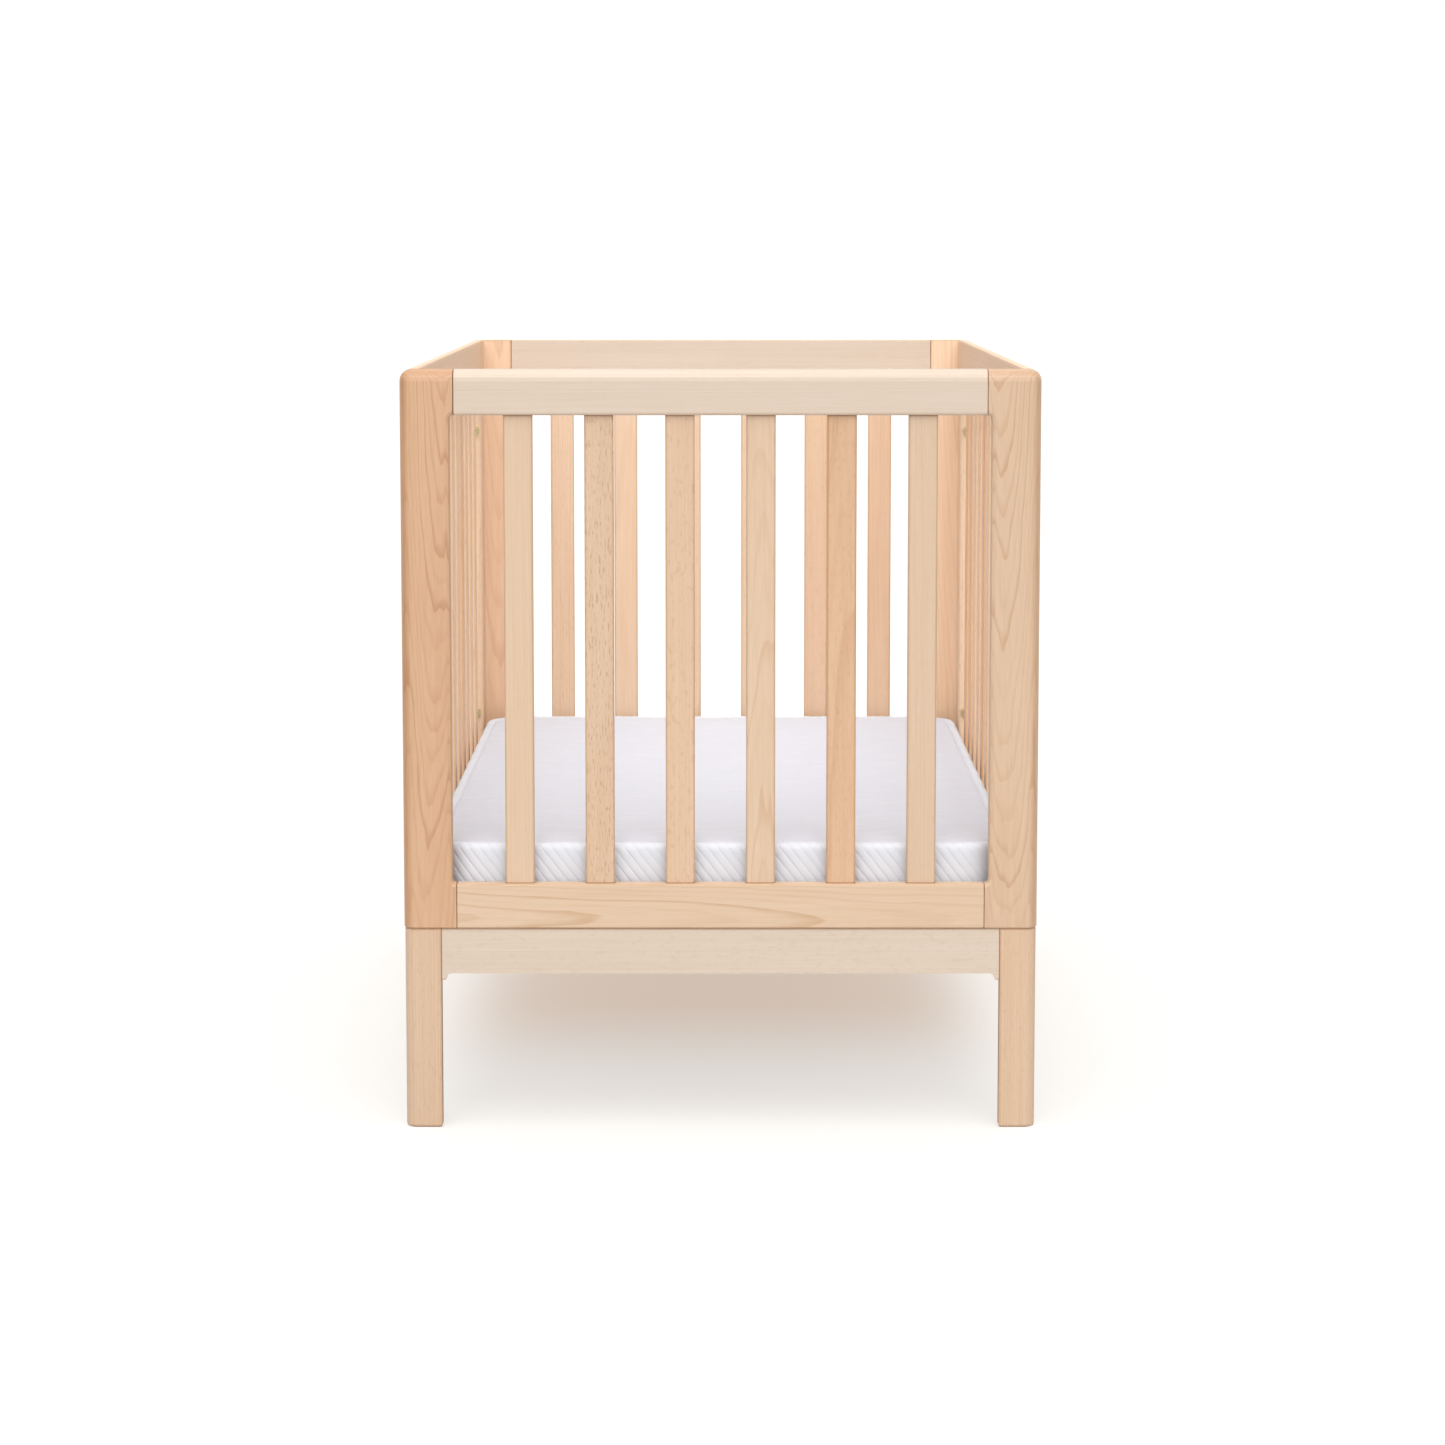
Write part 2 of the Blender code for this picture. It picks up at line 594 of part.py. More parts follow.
# ---- deck and mattress ---------------------------------------------------------------------
def deck():
    """The slatted deck, its slats glued to two bearers, and the cleats that it lies on."""
    half_width = WIDTH / 2 - BASE_INSET - BOARD - DECK_CLEARANCE
    half_length = LENGTH / 2 - BASE_INSET - BOARD - DECK_CLEARANCE
    slat_bottom = DECK_TOP - DECK_SLAT_THICKNESS
    bearer_bottom = slat_bottom - BEARER_THICKNESS
    inner = half_width - BEARER_WIDTH
    first = box((-half_width, -half_length, bearer_bottom), (-inner, half_length, slat_bottom))
    board = part("mattress_deck", first, Matrix.Identity(4), PLY)
    second = box((inner, -half_length, bearer_bottom), (half_width, half_length, slat_bottom))
    tools = [second]
    spread = half_length - DECK_SLAT_WIDTH / 2
    for number in range(DECK_SLATS):
        y = -spread + 2 * spread * number / (DECK_SLATS - 1)
        low = (-half_width, y - DECK_SLAT_WIDTH / 2, slat_bottom - DECK_SLAT_SINK)
        high = (half_width, y + DECK_SLAT_WIDTH / 2, DECK_TOP)
        tools.append(box(low, high))
    for number, tool in enumerate(tools, 1):
        combine(board, "UNION", f"mattress_deck_piece_{number}", tool, Matrix.Identity(4))
    cleat_top = bearer_bottom - FIT
    cleat_outer = WIDTH / 2 - BASE_INSET - BOARD - FIT
    for name, side in (("left_cleat", -1), ("right_cleat", 1)):
        faces = sorted((side * cleat_outer, side * (cleat_outer - CLEAT_WIDTH)))
        low = (faces[0], -half_length, cleat_top - CLEAT_HEIGHT)
        high = (faces[1], half_length, cleat_top)
        shape = box(low, high)
        soften(shape, EASE, 1, lambda m: near(m.y, 0))
        part(name, shape, Matrix.Identity(4), PALE)


def mattress():
    """The mattress: one soft block with rounded corners, on the deck."""
    half_width = WIDTH / 2 - BOARD - MATTRESS_CLEARANCE
    half_length = LENGTH / 2 - BOARD - MATTRESS_CLEARANCE
    x = half_width - MATTRESS_CORNER
    y = half_length - MATTRESS_CORNER
    outline = [
        *arc(x, y, MATTRESS_CORNER, 0, 90),
        *arc(-x, y, MATTRESS_CORNER, 90, 180),
        *arc(-x, -y, MATTRESS_CORNER, 180, 270),
        *arc(x, -y, MATTRESS_CORNER, 270, 360),
    ]
    bm = extruded(outline, MATTRESS_THICKNESS)
    ends = (0, MATTRESS_THICKNESS)
    soften(bm, MATTRESS_EDGE, 3, lambda m: near(m.z, ends[0]) or near(m.z, ends[1]))
    place = Matrix.Translation((0, 0, DECK_TOP + FIT))
    part("mattress", bm, place, COVER, 0.9)


# ---- the crib ------------------------------------------------------------------------------
def build_crib():
    for panel, (turn, distance, panel_width, names) in ENDS.items():
        end_panel(panel, turn, distance, panel_width, names)
    side_stiles = {}
    for panel, (turn, distance, panel_width, names) in SIDES.items():
        side_name = panel.removesuffix("_side")
        for end_name, stile in side_panel(panel, turn, distance, panel_width, names).items():
            side_stiles[(side_name, end_name)] = stile
    leg_dowels(leg_frame())
    panel_bolts(side_stiles)
    deck()
    mattress()


build_crib()
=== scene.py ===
# %% [markdown]
# # A baby crib in solid beech, with its mattress
#
# The crib's joinery is already there: stiles, rails, slats, legs and aprons come from the packed frame, each
# as its own object. This file gives them their timber, adds the pieces that are worth modelling more finely
# (the side slats, the bolts, the slatted deck, the mattress), and sets up the floor, the light and the
# camera. We load the frame first, because everything that follows takes its place from it.

# %% Load the frame
import json
import math
import random

import bpy
from mathutils import Euler, Matrix, Vector

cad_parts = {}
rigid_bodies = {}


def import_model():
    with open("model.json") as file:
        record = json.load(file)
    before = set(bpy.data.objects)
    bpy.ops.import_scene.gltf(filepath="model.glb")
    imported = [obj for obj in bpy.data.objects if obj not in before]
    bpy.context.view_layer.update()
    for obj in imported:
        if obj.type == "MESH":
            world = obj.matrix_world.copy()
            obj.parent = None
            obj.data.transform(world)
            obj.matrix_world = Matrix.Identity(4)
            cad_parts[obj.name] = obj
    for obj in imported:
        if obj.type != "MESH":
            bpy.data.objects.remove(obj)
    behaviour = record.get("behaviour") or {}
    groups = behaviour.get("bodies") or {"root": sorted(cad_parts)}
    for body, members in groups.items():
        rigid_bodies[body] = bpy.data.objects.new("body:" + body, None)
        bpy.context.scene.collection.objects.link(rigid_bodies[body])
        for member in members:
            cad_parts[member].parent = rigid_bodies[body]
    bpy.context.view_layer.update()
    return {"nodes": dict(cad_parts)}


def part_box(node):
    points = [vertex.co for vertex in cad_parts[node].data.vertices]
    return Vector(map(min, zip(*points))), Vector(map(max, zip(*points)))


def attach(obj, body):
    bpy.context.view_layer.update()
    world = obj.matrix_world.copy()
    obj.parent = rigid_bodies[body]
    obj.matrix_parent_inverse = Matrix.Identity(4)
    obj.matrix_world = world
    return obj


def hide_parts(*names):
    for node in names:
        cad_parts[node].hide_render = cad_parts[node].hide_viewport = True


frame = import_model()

# %% [markdown]
# ## Building shaders from small steps
#
# Every finish here is made of nodes. A few helpers keep the node code short: one feeds a socket with
# either a number or a link, one adds a node with its properties and inputs, and the next five add
# the nodes that are used most: Math, Vector Math, a smooth step, a mix of two colours and a noise.
# The last three make a node group, make a plain material, and join a finish group to a shader.

# %% Node helpers
def feed(tree, socket, value):
    """Links an output to a socket, or sets the socket to a plain value."""
    if isinstance(value, bpy.types.NodeSocket):
        tree.links.new(value, socket)
    else:
        socket.default_value = value


def add_node(tree, kind, settings=None, **inputs):
    """Adds a shader node, with its properties and its inputs."""
    node = tree.nodes.new("ShaderNode" + kind)
    for name, value in (settings or {}).items():
        setattr(node, name, value)
    for name, value in inputs.items():
        feed(tree, node.inputs[name.replace("_", " ")], value)
    return node


def maths(tree, operation, *values):
    """One Math node. Returns its output."""
    node = add_node(tree, "Math", {"operation": operation})
    for socket, value in zip(node.inputs, values):
        feed(tree, socket, value)
    return node.outputs[0]


def vector_maths(tree, operation, *values):
    """One Vector Math node. Returns its output."""
    node = add_node(tree, "VectorMath", {"operation": operation})
    for socket, value in zip(node.inputs, values):
        feed(tree, socket, value)
    return node.outputs[0]


def ramp(tree, value, low, high, to_low=0.0, to_high=1.0):
    """Turns the stretch from low to high into a smooth step from to_low to to_high."""
    node = add_node(tree, "MapRange", {"interpolation_type": "SMOOTHSTEP"}, Value=value,
                    From_Min=low, From_Max=high, To_Min=to_low, To_Max=to_high)
    return node.outputs["Result"]


def mix_colours(tree, share, first, second, how="MIX"):
    """Mixes two colours by a share from 0 to 1."""
    node = add_node(tree, "Mix", {"data_type": "RGBA", "blend_type": how})
    for socket, value in zip((node.inputs[0], node.inputs[6], node.inputs[7]), (share, first, second)):
        feed(tree, socket, value)
    return node.outputs[2]


def noise(tree, place, across, along, detail=2.0, rough=0.5):
    """A noise from 0 to 1, with this many waves per metre across the grain and along it (on Z)."""
    vector = vector_maths(tree, "MULTIPLY", place, (across, across, along))
    return add_node(tree, "TexNoise", None, Vector=vector, Scale=1.0, Detail=detail, Roughness=rough)


def new_group(name, inputs, outputs):
    """An empty node group with named sockets. Returns the tree, its input node and output node."""
    tree = bpy.data.node_groups.new(name, "ShaderNodeTree")
    for label, kind, value in inputs:
        socket = tree.interface.new_socket(label, in_out="INPUT", socket_type="NodeSocket" + kind)
        if value is not None:
            socket.default_value = value
    for label, kind in outputs:
        tree.interface.new_socket(label, in_out="OUTPUT", socket_type="NodeSocket" + kind)
    return tree, tree.nodes.new("NodeGroupInput"), tree.nodes.new("NodeGroupOutput")


def plain_material(name, colour, roughness, metallic=0.0):
    """A material with one Principled shader, set on its own sockets. Returns it, its tree and shader."""
    material = bpy.data.materials.new(name)
    material.use_nodes = True
    shader = material.node_tree.nodes["Principled BSDF"]
    shader.inputs["Base Color"].default_value = (*colour, 1.0)
    shader.inputs["Roughness"].default_value = roughness
    shader.inputs["Metallic"].default_value = metallic
    return material, material.node_tree, shader


def dress(tree, shader, finish, colour, depth, strength):
    """Feeds a shader with a colour and with a finish group's roughness and bumps."""
    bump = add_node(tree, "Bump", None, Height=finish.outputs["Height"], Distance=depth, Strength=strength)
    feed(tree, shader.inputs["Base Color"], colour)
    feed(tree, shader.inputs["Roughness"], finish.outputs["Roughness"])
    feed(tree, shader.inputs["Normal"], bump.outputs["Normal"])


# %% [markdown]
# ## The stage
#
# The crib stands on a white studio floor with no visible edge. A single large plane is enough: it
# runs on so far that it meets the horizon, and the light is bright enough to wash it out to pure
# white. It could also be a swept backdrop, but that would get in the way of a look from behind.
# The floor also has a painted glow of its own, like a sheet of white acrylic with lamps under it: it keeps
# the shadow under the crib light, and under the crib it is painted warmer, as a painted bounce of the
# timber's colour. Only the camera sees that glow: it is left out of the light that falls on the wood. The
# floor is also a shade darker to the camera than it is to the wood, so that it only just reaches white and
# the soft outer part of the shadow still shows.

# %% Floor
FLOOR_SIZE = 160.0
FLOOR_ROUGHNESS = 0.9
PAINTED_FLOOR_GLOW = 0.645
PAINTED_GLOW_OPEN = (1.0, 0.965, 0.925, 1.0)
PAINTED_TIMBER_BOUNCE = (0.89, 0.735, 0.62, 1.0)    # painted warm bounce of the timber, under the crib
FLOOR_LIT = (0.56, 0.56, 0.56)           # what the floor sends back to the wood
FLOOR_SEEN = (0.28, 0.28, 0.28, 1.0)     # what the camera sees of the light that falls on it
WARM_SIDES = (0.22, 0.42)                # where the warm patch starts to fade and ends, to each side
WARM_FRONT = (-0.40, 0.15)               # where it begins and is full, from the front
WARM_BACK = (0.35, 0.70)                 # where it starts to fade and ends, at the back


def clear_selection():
    """Deselects every object, so that an operator only acts on what is made next."""
    bpy.ops.object.select_all(action="DESELECT")


clear_selection()
bpy.ops.mesh.primitive_plane_add(size=FLOOR_SIZE)
floor = bpy.context.object
floor.name = "floor"
floor_white, tree, shader = plain_material("floor_white", FLOOR_LIT, FLOOR_ROUGHNESS)
axes = add_node(tree, "SeparateXYZ", None, Vector=add_node(tree, "TexCoord").outputs["Object"])
# Painted light: the floor's glow lifts the shadow under the crib, and is painted warmer there as a bounce of
# the timber.
painted_bounce_share = ramp(tree, maths(tree, "ABSOLUTE", axes.outputs["X"]), *WARM_SIDES, 1.0, 0.0)
painted_bounce_share = maths(tree, "MULTIPLY", painted_bounce_share, ramp(tree, axes.outputs["Y"], *WARM_FRONT))
painted_bounce_share = maths(tree, "MULTIPLY", painted_bounce_share, ramp(tree, axes.outputs["Y"], *WARM_BACK, 1.0, 0.0))
seen = add_node(tree, "LightPath").outputs["Is Camera Ray"]
feed(tree, shader.inputs["Base Color"], mix_colours(tree, seen, (*FLOOR_LIT, 1.0), FLOOR_SEEN))
feed(tree, shader.inputs["Emission Color"], mix_colours(tree, painted_bounce_share, PAINTED_GLOW_OPEN, PAINTED_TIMBER_BOUNCE))
feed(tree, shader.inputs["Emission Strength"], maths(tree, "MULTIPLY", seen, PAINTED_FLOOR_GLOW))
floor.data.materials.append(floor_white)
print("floor:", FLOOR_SIZE, "m wide,", len(tree.nodes), "nodes")

# %% [markdown]
# ## The light
#
# A product studio lights white goods with very large soft boxes and white walls all round. Two sun
# lamps with a wide angle stand in for them. One is almost straight above, so that the shadow stays
# under the crib. The other is in front and higher than the rails, so that the front faces and the
# far end inside both get light.
#
# The world is the room: a bright ceiling over dimmer walls, so that the round edges that face
# sideways stay a shade darker than the faces. To the camera the walls look fully white, like the
# paper behind a product, and nearly so in reflections: the tops of the rails mirror them where
# they are seen at a low angle.

# %% Soft box and walls
KEY_STRENGTH = 1.5
KEY_TILT = math.radians(22)      # how far a lamp leans towards the camera from straight above
FILL_STRENGTH = 1.3
FILL_TILT = math.radians(60)
LAMP_ANGLE = math.radians(50)
LAMP_COLOUR = (1.0, 0.995, 0.985)
WALL_LIGHT = 0.33
CEILING_LIGHT = 1.45
MIRRORED_WALL = 0.8              # how bright the walls are in a reflection


def soft_box(name, strength, tilt):
    """A very large soft lamp in the vertical plane of the camera."""
    lamp = bpy.data.lights.new(name, "SUN")
    lamp.energy = strength
    lamp.angle = LAMP_ANGLE
    lamp.color = LAMP_COLOUR
    item = bpy.data.objects.new(name, lamp)
    item.rotation_euler = (tilt, 0.0, 0.0)
    bpy.context.collection.objects.link(item)


soft_box("soft_box_above", KEY_STRENGTH, KEY_TILT)
soft_box("soft_box_in_front", FILL_STRENGTH, FILL_TILT)

world = bpy.data.worlds.new("walls")
world.use_nodes = True
bpy.context.scene.world = world
tree = world.node_tree
axes = add_node(tree, "SeparateXYZ", None, Vector=add_node(tree, "TexCoord").outputs["Generated"])
rise = maths(tree, "MULTIPLY", axes.outputs["Z"], axes.outputs["Z"])
room = add_node(tree, "MapRange", None, Value=rise, To_Min=WALL_LIGHT, To_Max=CEILING_LIGHT)
ray = add_node(tree, "LightPath").outputs
white = maths(tree, "MULTIPLY_ADD", ray["Is Glossy Ray"], MIRRORED_WALL, ray["Is Camera Ray"])
background = tree.nodes["Background"]
feed(tree, background.inputs["Strength"], maths(tree, "MAXIMUM", room.outputs["Result"], white))
background.inputs["Color"].default_value = (1.0, 1.0, 1.0, 1.0)
bpy.context.scene.view_settings.view_transform = "Standard"
print("lamps:", KEY_STRENGTH, "above and", FILL_STRENGTH, "in front")

# %% [markdown]
# ## The camera
#
# A long lens from about five metres away, a little above the top rail and tipped down by seven
# degrees. It looks straight at the front end, so the back end shows inside the front one.

# %% Camera
CAMERA_PLACE = (0.0022, -5.002, 0.986)
CAMERA_DROP = 6.929              # how far it looks down, in degrees
SENSOR_WIDTH = 36.0
LENS = 100.18

camera_data = bpy.data.cameras.new("camera")
camera_data.sensor_width = SENSOR_WIDTH
camera_data.lens = LENS
camera = bpy.data.objects.new("camera", camera_data)
camera.location = CAMERA_PLACE
camera.rotation_euler = (math.radians(90 - CAMERA_DROP), 0.0, 0.0)
bpy.context.collection.objects.link(camera)
bpy.context.scene.camera = camera
print("camera:", round(-CAMERA_PLACE[1], 2), "m in front,", CAMERA_PLACE[2], "m high")

# %% [markdown]
# ## Beech
#
# A board is a slice of a tree, so its grain is a slice of the tree's rings. The group below does
# just that. It is given a place in the tree, in metres, with the pith (the tree's middle) along Z.
# The distance from the pith, divided by the width of a ring, says which ring a point is in and how
# far through it. Where a board is cut close to the pith and slightly askew, the rings come out as
# nested arches; where it is cut further out, they come out as straight lines. The same group
# makes both, and the pattern runs on round every corner of the piece, as it does in solid wood.
#
# On top of the rings come three things that tell beech from other timbers: an even, fine fibre,
# slow changes of tone, and the rays, which show as small dark flecks along the grain on one face
# and as broader shiny flakes on the other.

# %% Beech group
# Each noise has its waves per metre across the grain and along it.
LOG_SWAY = (9.0, 2.2)
RING_RIPPLE = (55.0, 9.0)
FIBRES = (900.0, 22.0)
STREAKS = (240.0, 3.5)
TONE_CHANGES = (22.0, 2.4)
YEARS_DRIFT = 70.0               # how fast wide and narrow years change over, per metre
DRIFT_SHARE = 1.6                # by how many rings that shifts the count
LATE_WOOD = (0.50, 0.92)         # where a ring starts to darken, and where it is darkest
WEAKEST_RING = 0.25
BARE_SHADE = 0.25                # how dark the wood is without any figure
FIBRE_SHARE = 0.45
STREAK_SHARE = 0.5
RAY_WAVES = (150.0, 84.0, 115.0)     # per metre of radius, per radian round the pith, per metre up
FLECK_EDGES = (0.54, 0.74)
FLECK_COLOUR = (0.36, 0.19, 0.095, 1.0)
SMOOTHEST = 0.34                 # the roughness of the wood between its fibres
FIBRE_ROUGHNESS = 0.16           # what a fibre adds to it
FLECK_ROUGHNESS = 0.2


def build_beech():
    """The node group that slices a beech log."""
    inputs = [("Place", "Vector", None), ("Ring Width", "Float", 0.003), ("Waviness", "Float", 0.004),
              ("Ripple", "Float", 0.0012), ("Figure", "Float", 0.5), ("Flecks", "Float", 0.4),
              ("Mottle", "Float", 0.3), ("Pale", "Color", None), ("Dark", "Color", None)]
    outputs = [("Color", "Color"), ("Roughness", "Float"), ("Height", "Float")]
    tree, given, result = new_group("beech", inputs, outputs)
    given = given.outputs
    place = given["Place"]
    axes = add_node(tree, "SeparateXYZ", None, Vector=place).outputs

    # The log isn't straight: its rings wander slowly, and ripple over a few centimetres.
    wander = noise(tree, place, *LOG_SWAY, 1.0)
    sway = add_node(tree, "SeparateColor", None, Color=wander.outputs["Color"])
    swing = maths(tree, "MULTIPLY", given["Waviness"], 2.0)
    across = []
    for axis, part in (("X", "Red"), ("Y", "Green")):
        shift = maths(tree, "MULTIPLY", maths(tree, "SUBTRACT", sway.outputs[part], 0.5), swing)
        across.append(maths(tree, "ADD", axes[axis], shift))
    squares = [maths(tree, "MULTIPLY", side, side) for side in across]
    radius = maths(tree, "SQRT", maths(tree, "ADD", *squares))
    ripple = maths(tree, "SUBTRACT", noise(tree, place, *RING_RIPPLE).outputs["Fac"], 0.5)
    ripple = maths(tree, "MULTIPLY", ripple, given["Ripple"])
    radius = maths(tree, "ADD", radius, maths(tree, "MULTIPLY", ripple, 2.0))

    # Rings: some years are wide and some are narrow, and some end in a stronger line.
    years = add_node(tree, "TexNoise", {"noise_dimensions": "1D"}, Scale=1.0, Detail=1.0,
                     W=maths(tree, "MULTIPLY", radius, YEARS_DRIFT))
    turns = maths(tree, "DIVIDE", radius, given["Ring Width"])
    turns = maths(tree, "ADD", turns, maths(tree, "MULTIPLY", years.outputs["Fac"], DRIFT_SHARE))
    through = maths(tree, "FRACT", turns)
    rise = ramp(tree, through, *LATE_WOOD)
    fall = ramp(tree, through, LATE_WOOD[1], 1.0, 1.0, 0.0)
    year = add_node(tree, "TexWhiteNoise", {"noise_dimensions": "1D"}, W=maths(tree, "FLOOR", turns))
    strength = ramp(tree, year.outputs["Value"], 0.0, 1.0, WEAKEST_RING, 1.0)
    rings = maths(tree, "MULTIPLY", maths(tree, "MULTIPLY", rise, fall), strength)
    rings = maths(tree, "MULTIPLY", rings, given["Figure"])

    # Fibres, and slow changes of tone.
    fibre = noise(tree, place, *FIBRES, 2.0, 0.6).outputs["Fac"]
    streak = noise(tree, place, *STREAKS, 2.0, 0.6).outputs["Fac"]
    tone = noise(tree, place, *TONE_CHANGES).outputs["Fac"]
    fine = maths(tree, "MULTIPLY", maths(tree, "SUBTRACT", fibre, 0.5), FIBRE_SHARE)
    broad = maths(tree, "MULTIPLY", maths(tree, "SUBTRACT", streak, 0.5), STREAK_SHARE)
    soft = maths(tree, "ADD", fine, broad)
    slow = maths(tree, "MULTIPLY", maths(tree, "SUBTRACT", tone, 0.5), given["Mottle"])
    shade = maths(tree, "ADD", maths(tree, "ADD", rings, soft), maths(tree, "MULTIPLY", slow, 2.0))
    shade = add_node(tree, "Clamp", None, Value=maths(tree, "ADD", shade, BARE_SHADE)).outputs[0]

    # Rays: thin round the pith, long away from it, a few millimetres tall.
    angle = maths(tree, "ARCTAN2", axes["Y"], axes["X"])
    measures = zip("XYZ", (radius, angle, axes["Z"]), RAY_WAVES)
    ray_place = {axis: maths(tree, "MULTIPLY", length, waves) for axis, length, waves in measures}
    ray_place = add_node(tree, "CombineXYZ", None, **ray_place).outputs[0]
    rays = add_node(tree, "TexNoise", None, Vector=ray_place, Scale=1.0, Detail=1.0).outputs["Fac"]
    flecks = maths(tree, "MULTIPLY", ramp(tree, rays, *FLECK_EDGES), given["Flecks"])

    colour = mix_colours(tree, shade, given["Pale"], given["Dark"])
    feed(tree, result.inputs["Color"], mix_colours(tree, flecks, colour, FLECK_COLOUR))
    rough = maths(tree, "ADD", maths(tree, "MULTIPLY", fibre, FIBRE_ROUGHNESS), SMOOTHEST)
    rough = maths(tree, "ADD", rough, maths(tree, "MULTIPLY", flecks, FLECK_ROUGHNESS))
    feed(tree, result.inputs["Roughness"], rough)
    height = maths(tree, "MULTIPLY", maths(tree, "SUBTRACT", rings, fibre), 0.5)
    feed(tree, result.inputs["Height"], maths(tree, "SUBTRACT", height, flecks))
    return tree


BEECH = build_beech()
print("beech group:", len(BEECH.nodes), "nodes")

# %% [markdown]
# ## Burnished edges, with painted edge shade
#
# Where a router and sandpaper round an edge over, they rub it warmer and a little darker. The rounded edges
# that face sideways also get less light. Both are painted here as one warm, darker tint, so the darkening is
# partly real burnish and partly painted shade. It draws a fine line down both sides of every slat. The group
# below finds edges without any help from the mesh. It takes the distance from a point to each pair of faces
# of the piece's box: on a face one of the three is nothing, and near an edge the second smallest is small
# too.

# %% Edge group
def build_edges():
    """The node group that masks a box's edges: 1 at an edge, 0 beyond a width from it."""
    inputs = [("Place", "Vector", None), ("Middle", "Vector", None), ("Half", "Vector", None),
              ("Width", "Float", 0.003)]
    tree, given, result = new_group("burnished_edges", inputs, [("Mask", "Float")])
    given = given.outputs
    away = vector_maths(tree, "ABSOLUTE", vector_maths(tree, "SUBTRACT", given["Place"], given["Middle"]))
    inside = vector_maths(tree, "SUBTRACT", given["Half"], away)
    depth = add_node(tree, "SeparateXYZ", None, Vector=inside).outputs
    lesser = maths(tree, "MINIMUM", depth["X"], depth["Y"])
    greater = maths(tree, "MAXIMUM", depth["X"], depth["Y"])
    second = maths(tree, "MAXIMUM", lesser, maths(tree, "MINIMUM", greater, depth["Z"]))
    feed(tree, result.inputs["Mask"], ramp(tree, second, 0.0, given["Width"], 1.0, 0.0))
    return tree


EDGES = build_edges()
print("edge group:", len(EDGES.nodes), "nodes")

# %% [markdown]
# ## Joint lines
#
# Where a rail meets a stile, or a slat a rail, the arris is eased and the join reads as a thin dark
# line. It is painted on the piece itself, at the plane where the other piece starts. The planes
# are read from the pieces' boxes.

# %% Joint lines
JOINT_REACH = 0.0014                    # half the width of a line, with its soft edge
JOINT_TINT = (0.62, 0.46, 0.34, 1.0)
OPEN_TINT = (0.26, 0.15, 0.10, 1.0)     # a join that has opened a little
JOINTS = {}
for end in ("front_end_", "back_end_"):
    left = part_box(end + "left_stile")[1].x
    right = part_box(end + "right_stile")[0].x
    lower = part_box(end + "bottom_rail")[1].z
    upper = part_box(end + "top_rail")[0].z
    corner = OPEN_TINT if end == "front_end_" else JOINT_TINT
    JOINTS[end + "top_rail"] = (("X", left, corner), ("X", right, JOINT_TINT))
    JOINTS[end + "bottom_rail"] = (("X", left, JOINT_TINT), ("X", right, JOINT_TINT))
    for number in range(1, 7):
        JOINTS[f"{end}slat_{number}"] = (("Z", lower, JOINT_TINT), ("Z", upper, JOINT_TINT))
left_leg, right_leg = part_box("front_left_leg"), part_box("front_right_leg")
JOINTS["front_apron"] = (("X", left_leg[1].x, JOINT_TINT), ("X", right_leg[0].x, JOINT_TINT))
print("joint lines on", len(JOINTS), "pieces")

# %% [markdown]
# ## Sawing each board
#
# Every piece gets a board of its own. A Mapping node says where in the tree it was sawn: the grain
# is turned along Z, the board is tipped by a few degrees, and its middle is set at a chosen
# distance from the pith. The colour of beech runs from cream to a pinkish tan, even within one
# crib, so each board also has a pale and a dark tone of its own.

# %% Board material
ALIGN = {                            # how a grain on this axis is turned along Z
    "X": Euler((0, math.radians(-90), 0)),
    "Y": Euler((math.radians(90), 0, 0)),
    "Z": Euler((0, 0, 0)),
}
TONES = {
    "cream": ((0.635, 0.53, 0.44), (0.53, 0.41, 0.295)),
    "straw": ((0.655, 0.49, 0.355), (0.52, 0.34, 0.205)),
    "tan": ((0.65, 0.47, 0.33), (0.50, 0.305, 0.18)),
    "ginger": ((0.598, 0.377, 0.231), (0.447, 0.237, 0.126)),
    "rose": ((0.615, 0.405, 0.257), (0.46, 0.255, 0.14)),
}
BUMP_DEPTH = 0.00012
BUMP_STRENGTH = 0.6
WOOD_SHINE = 0.4                     # specular level of bare, sanded wood
BURNISH_AND_SHADE_TINT = (0.80, 0.68, 0.56, 1.0)    # tint of an edge: partly burnish, partly painted shade


def box_of(item):
    """The middle and half size of a mesh's box. Objects here sit at the origin, unturned."""
    corners = [Vector(corner) for corner in item.bound_box]
    return (corners[0] + corners[6]) / 2, (corners[6] - corners[0]) / 2


def longest_axis(item):
    """The letter of the axis that a piece is longest along, which is where its grain runs."""
    return "XYZ"[max(range(3), key=lambda axis: item.dimensions[axis])]


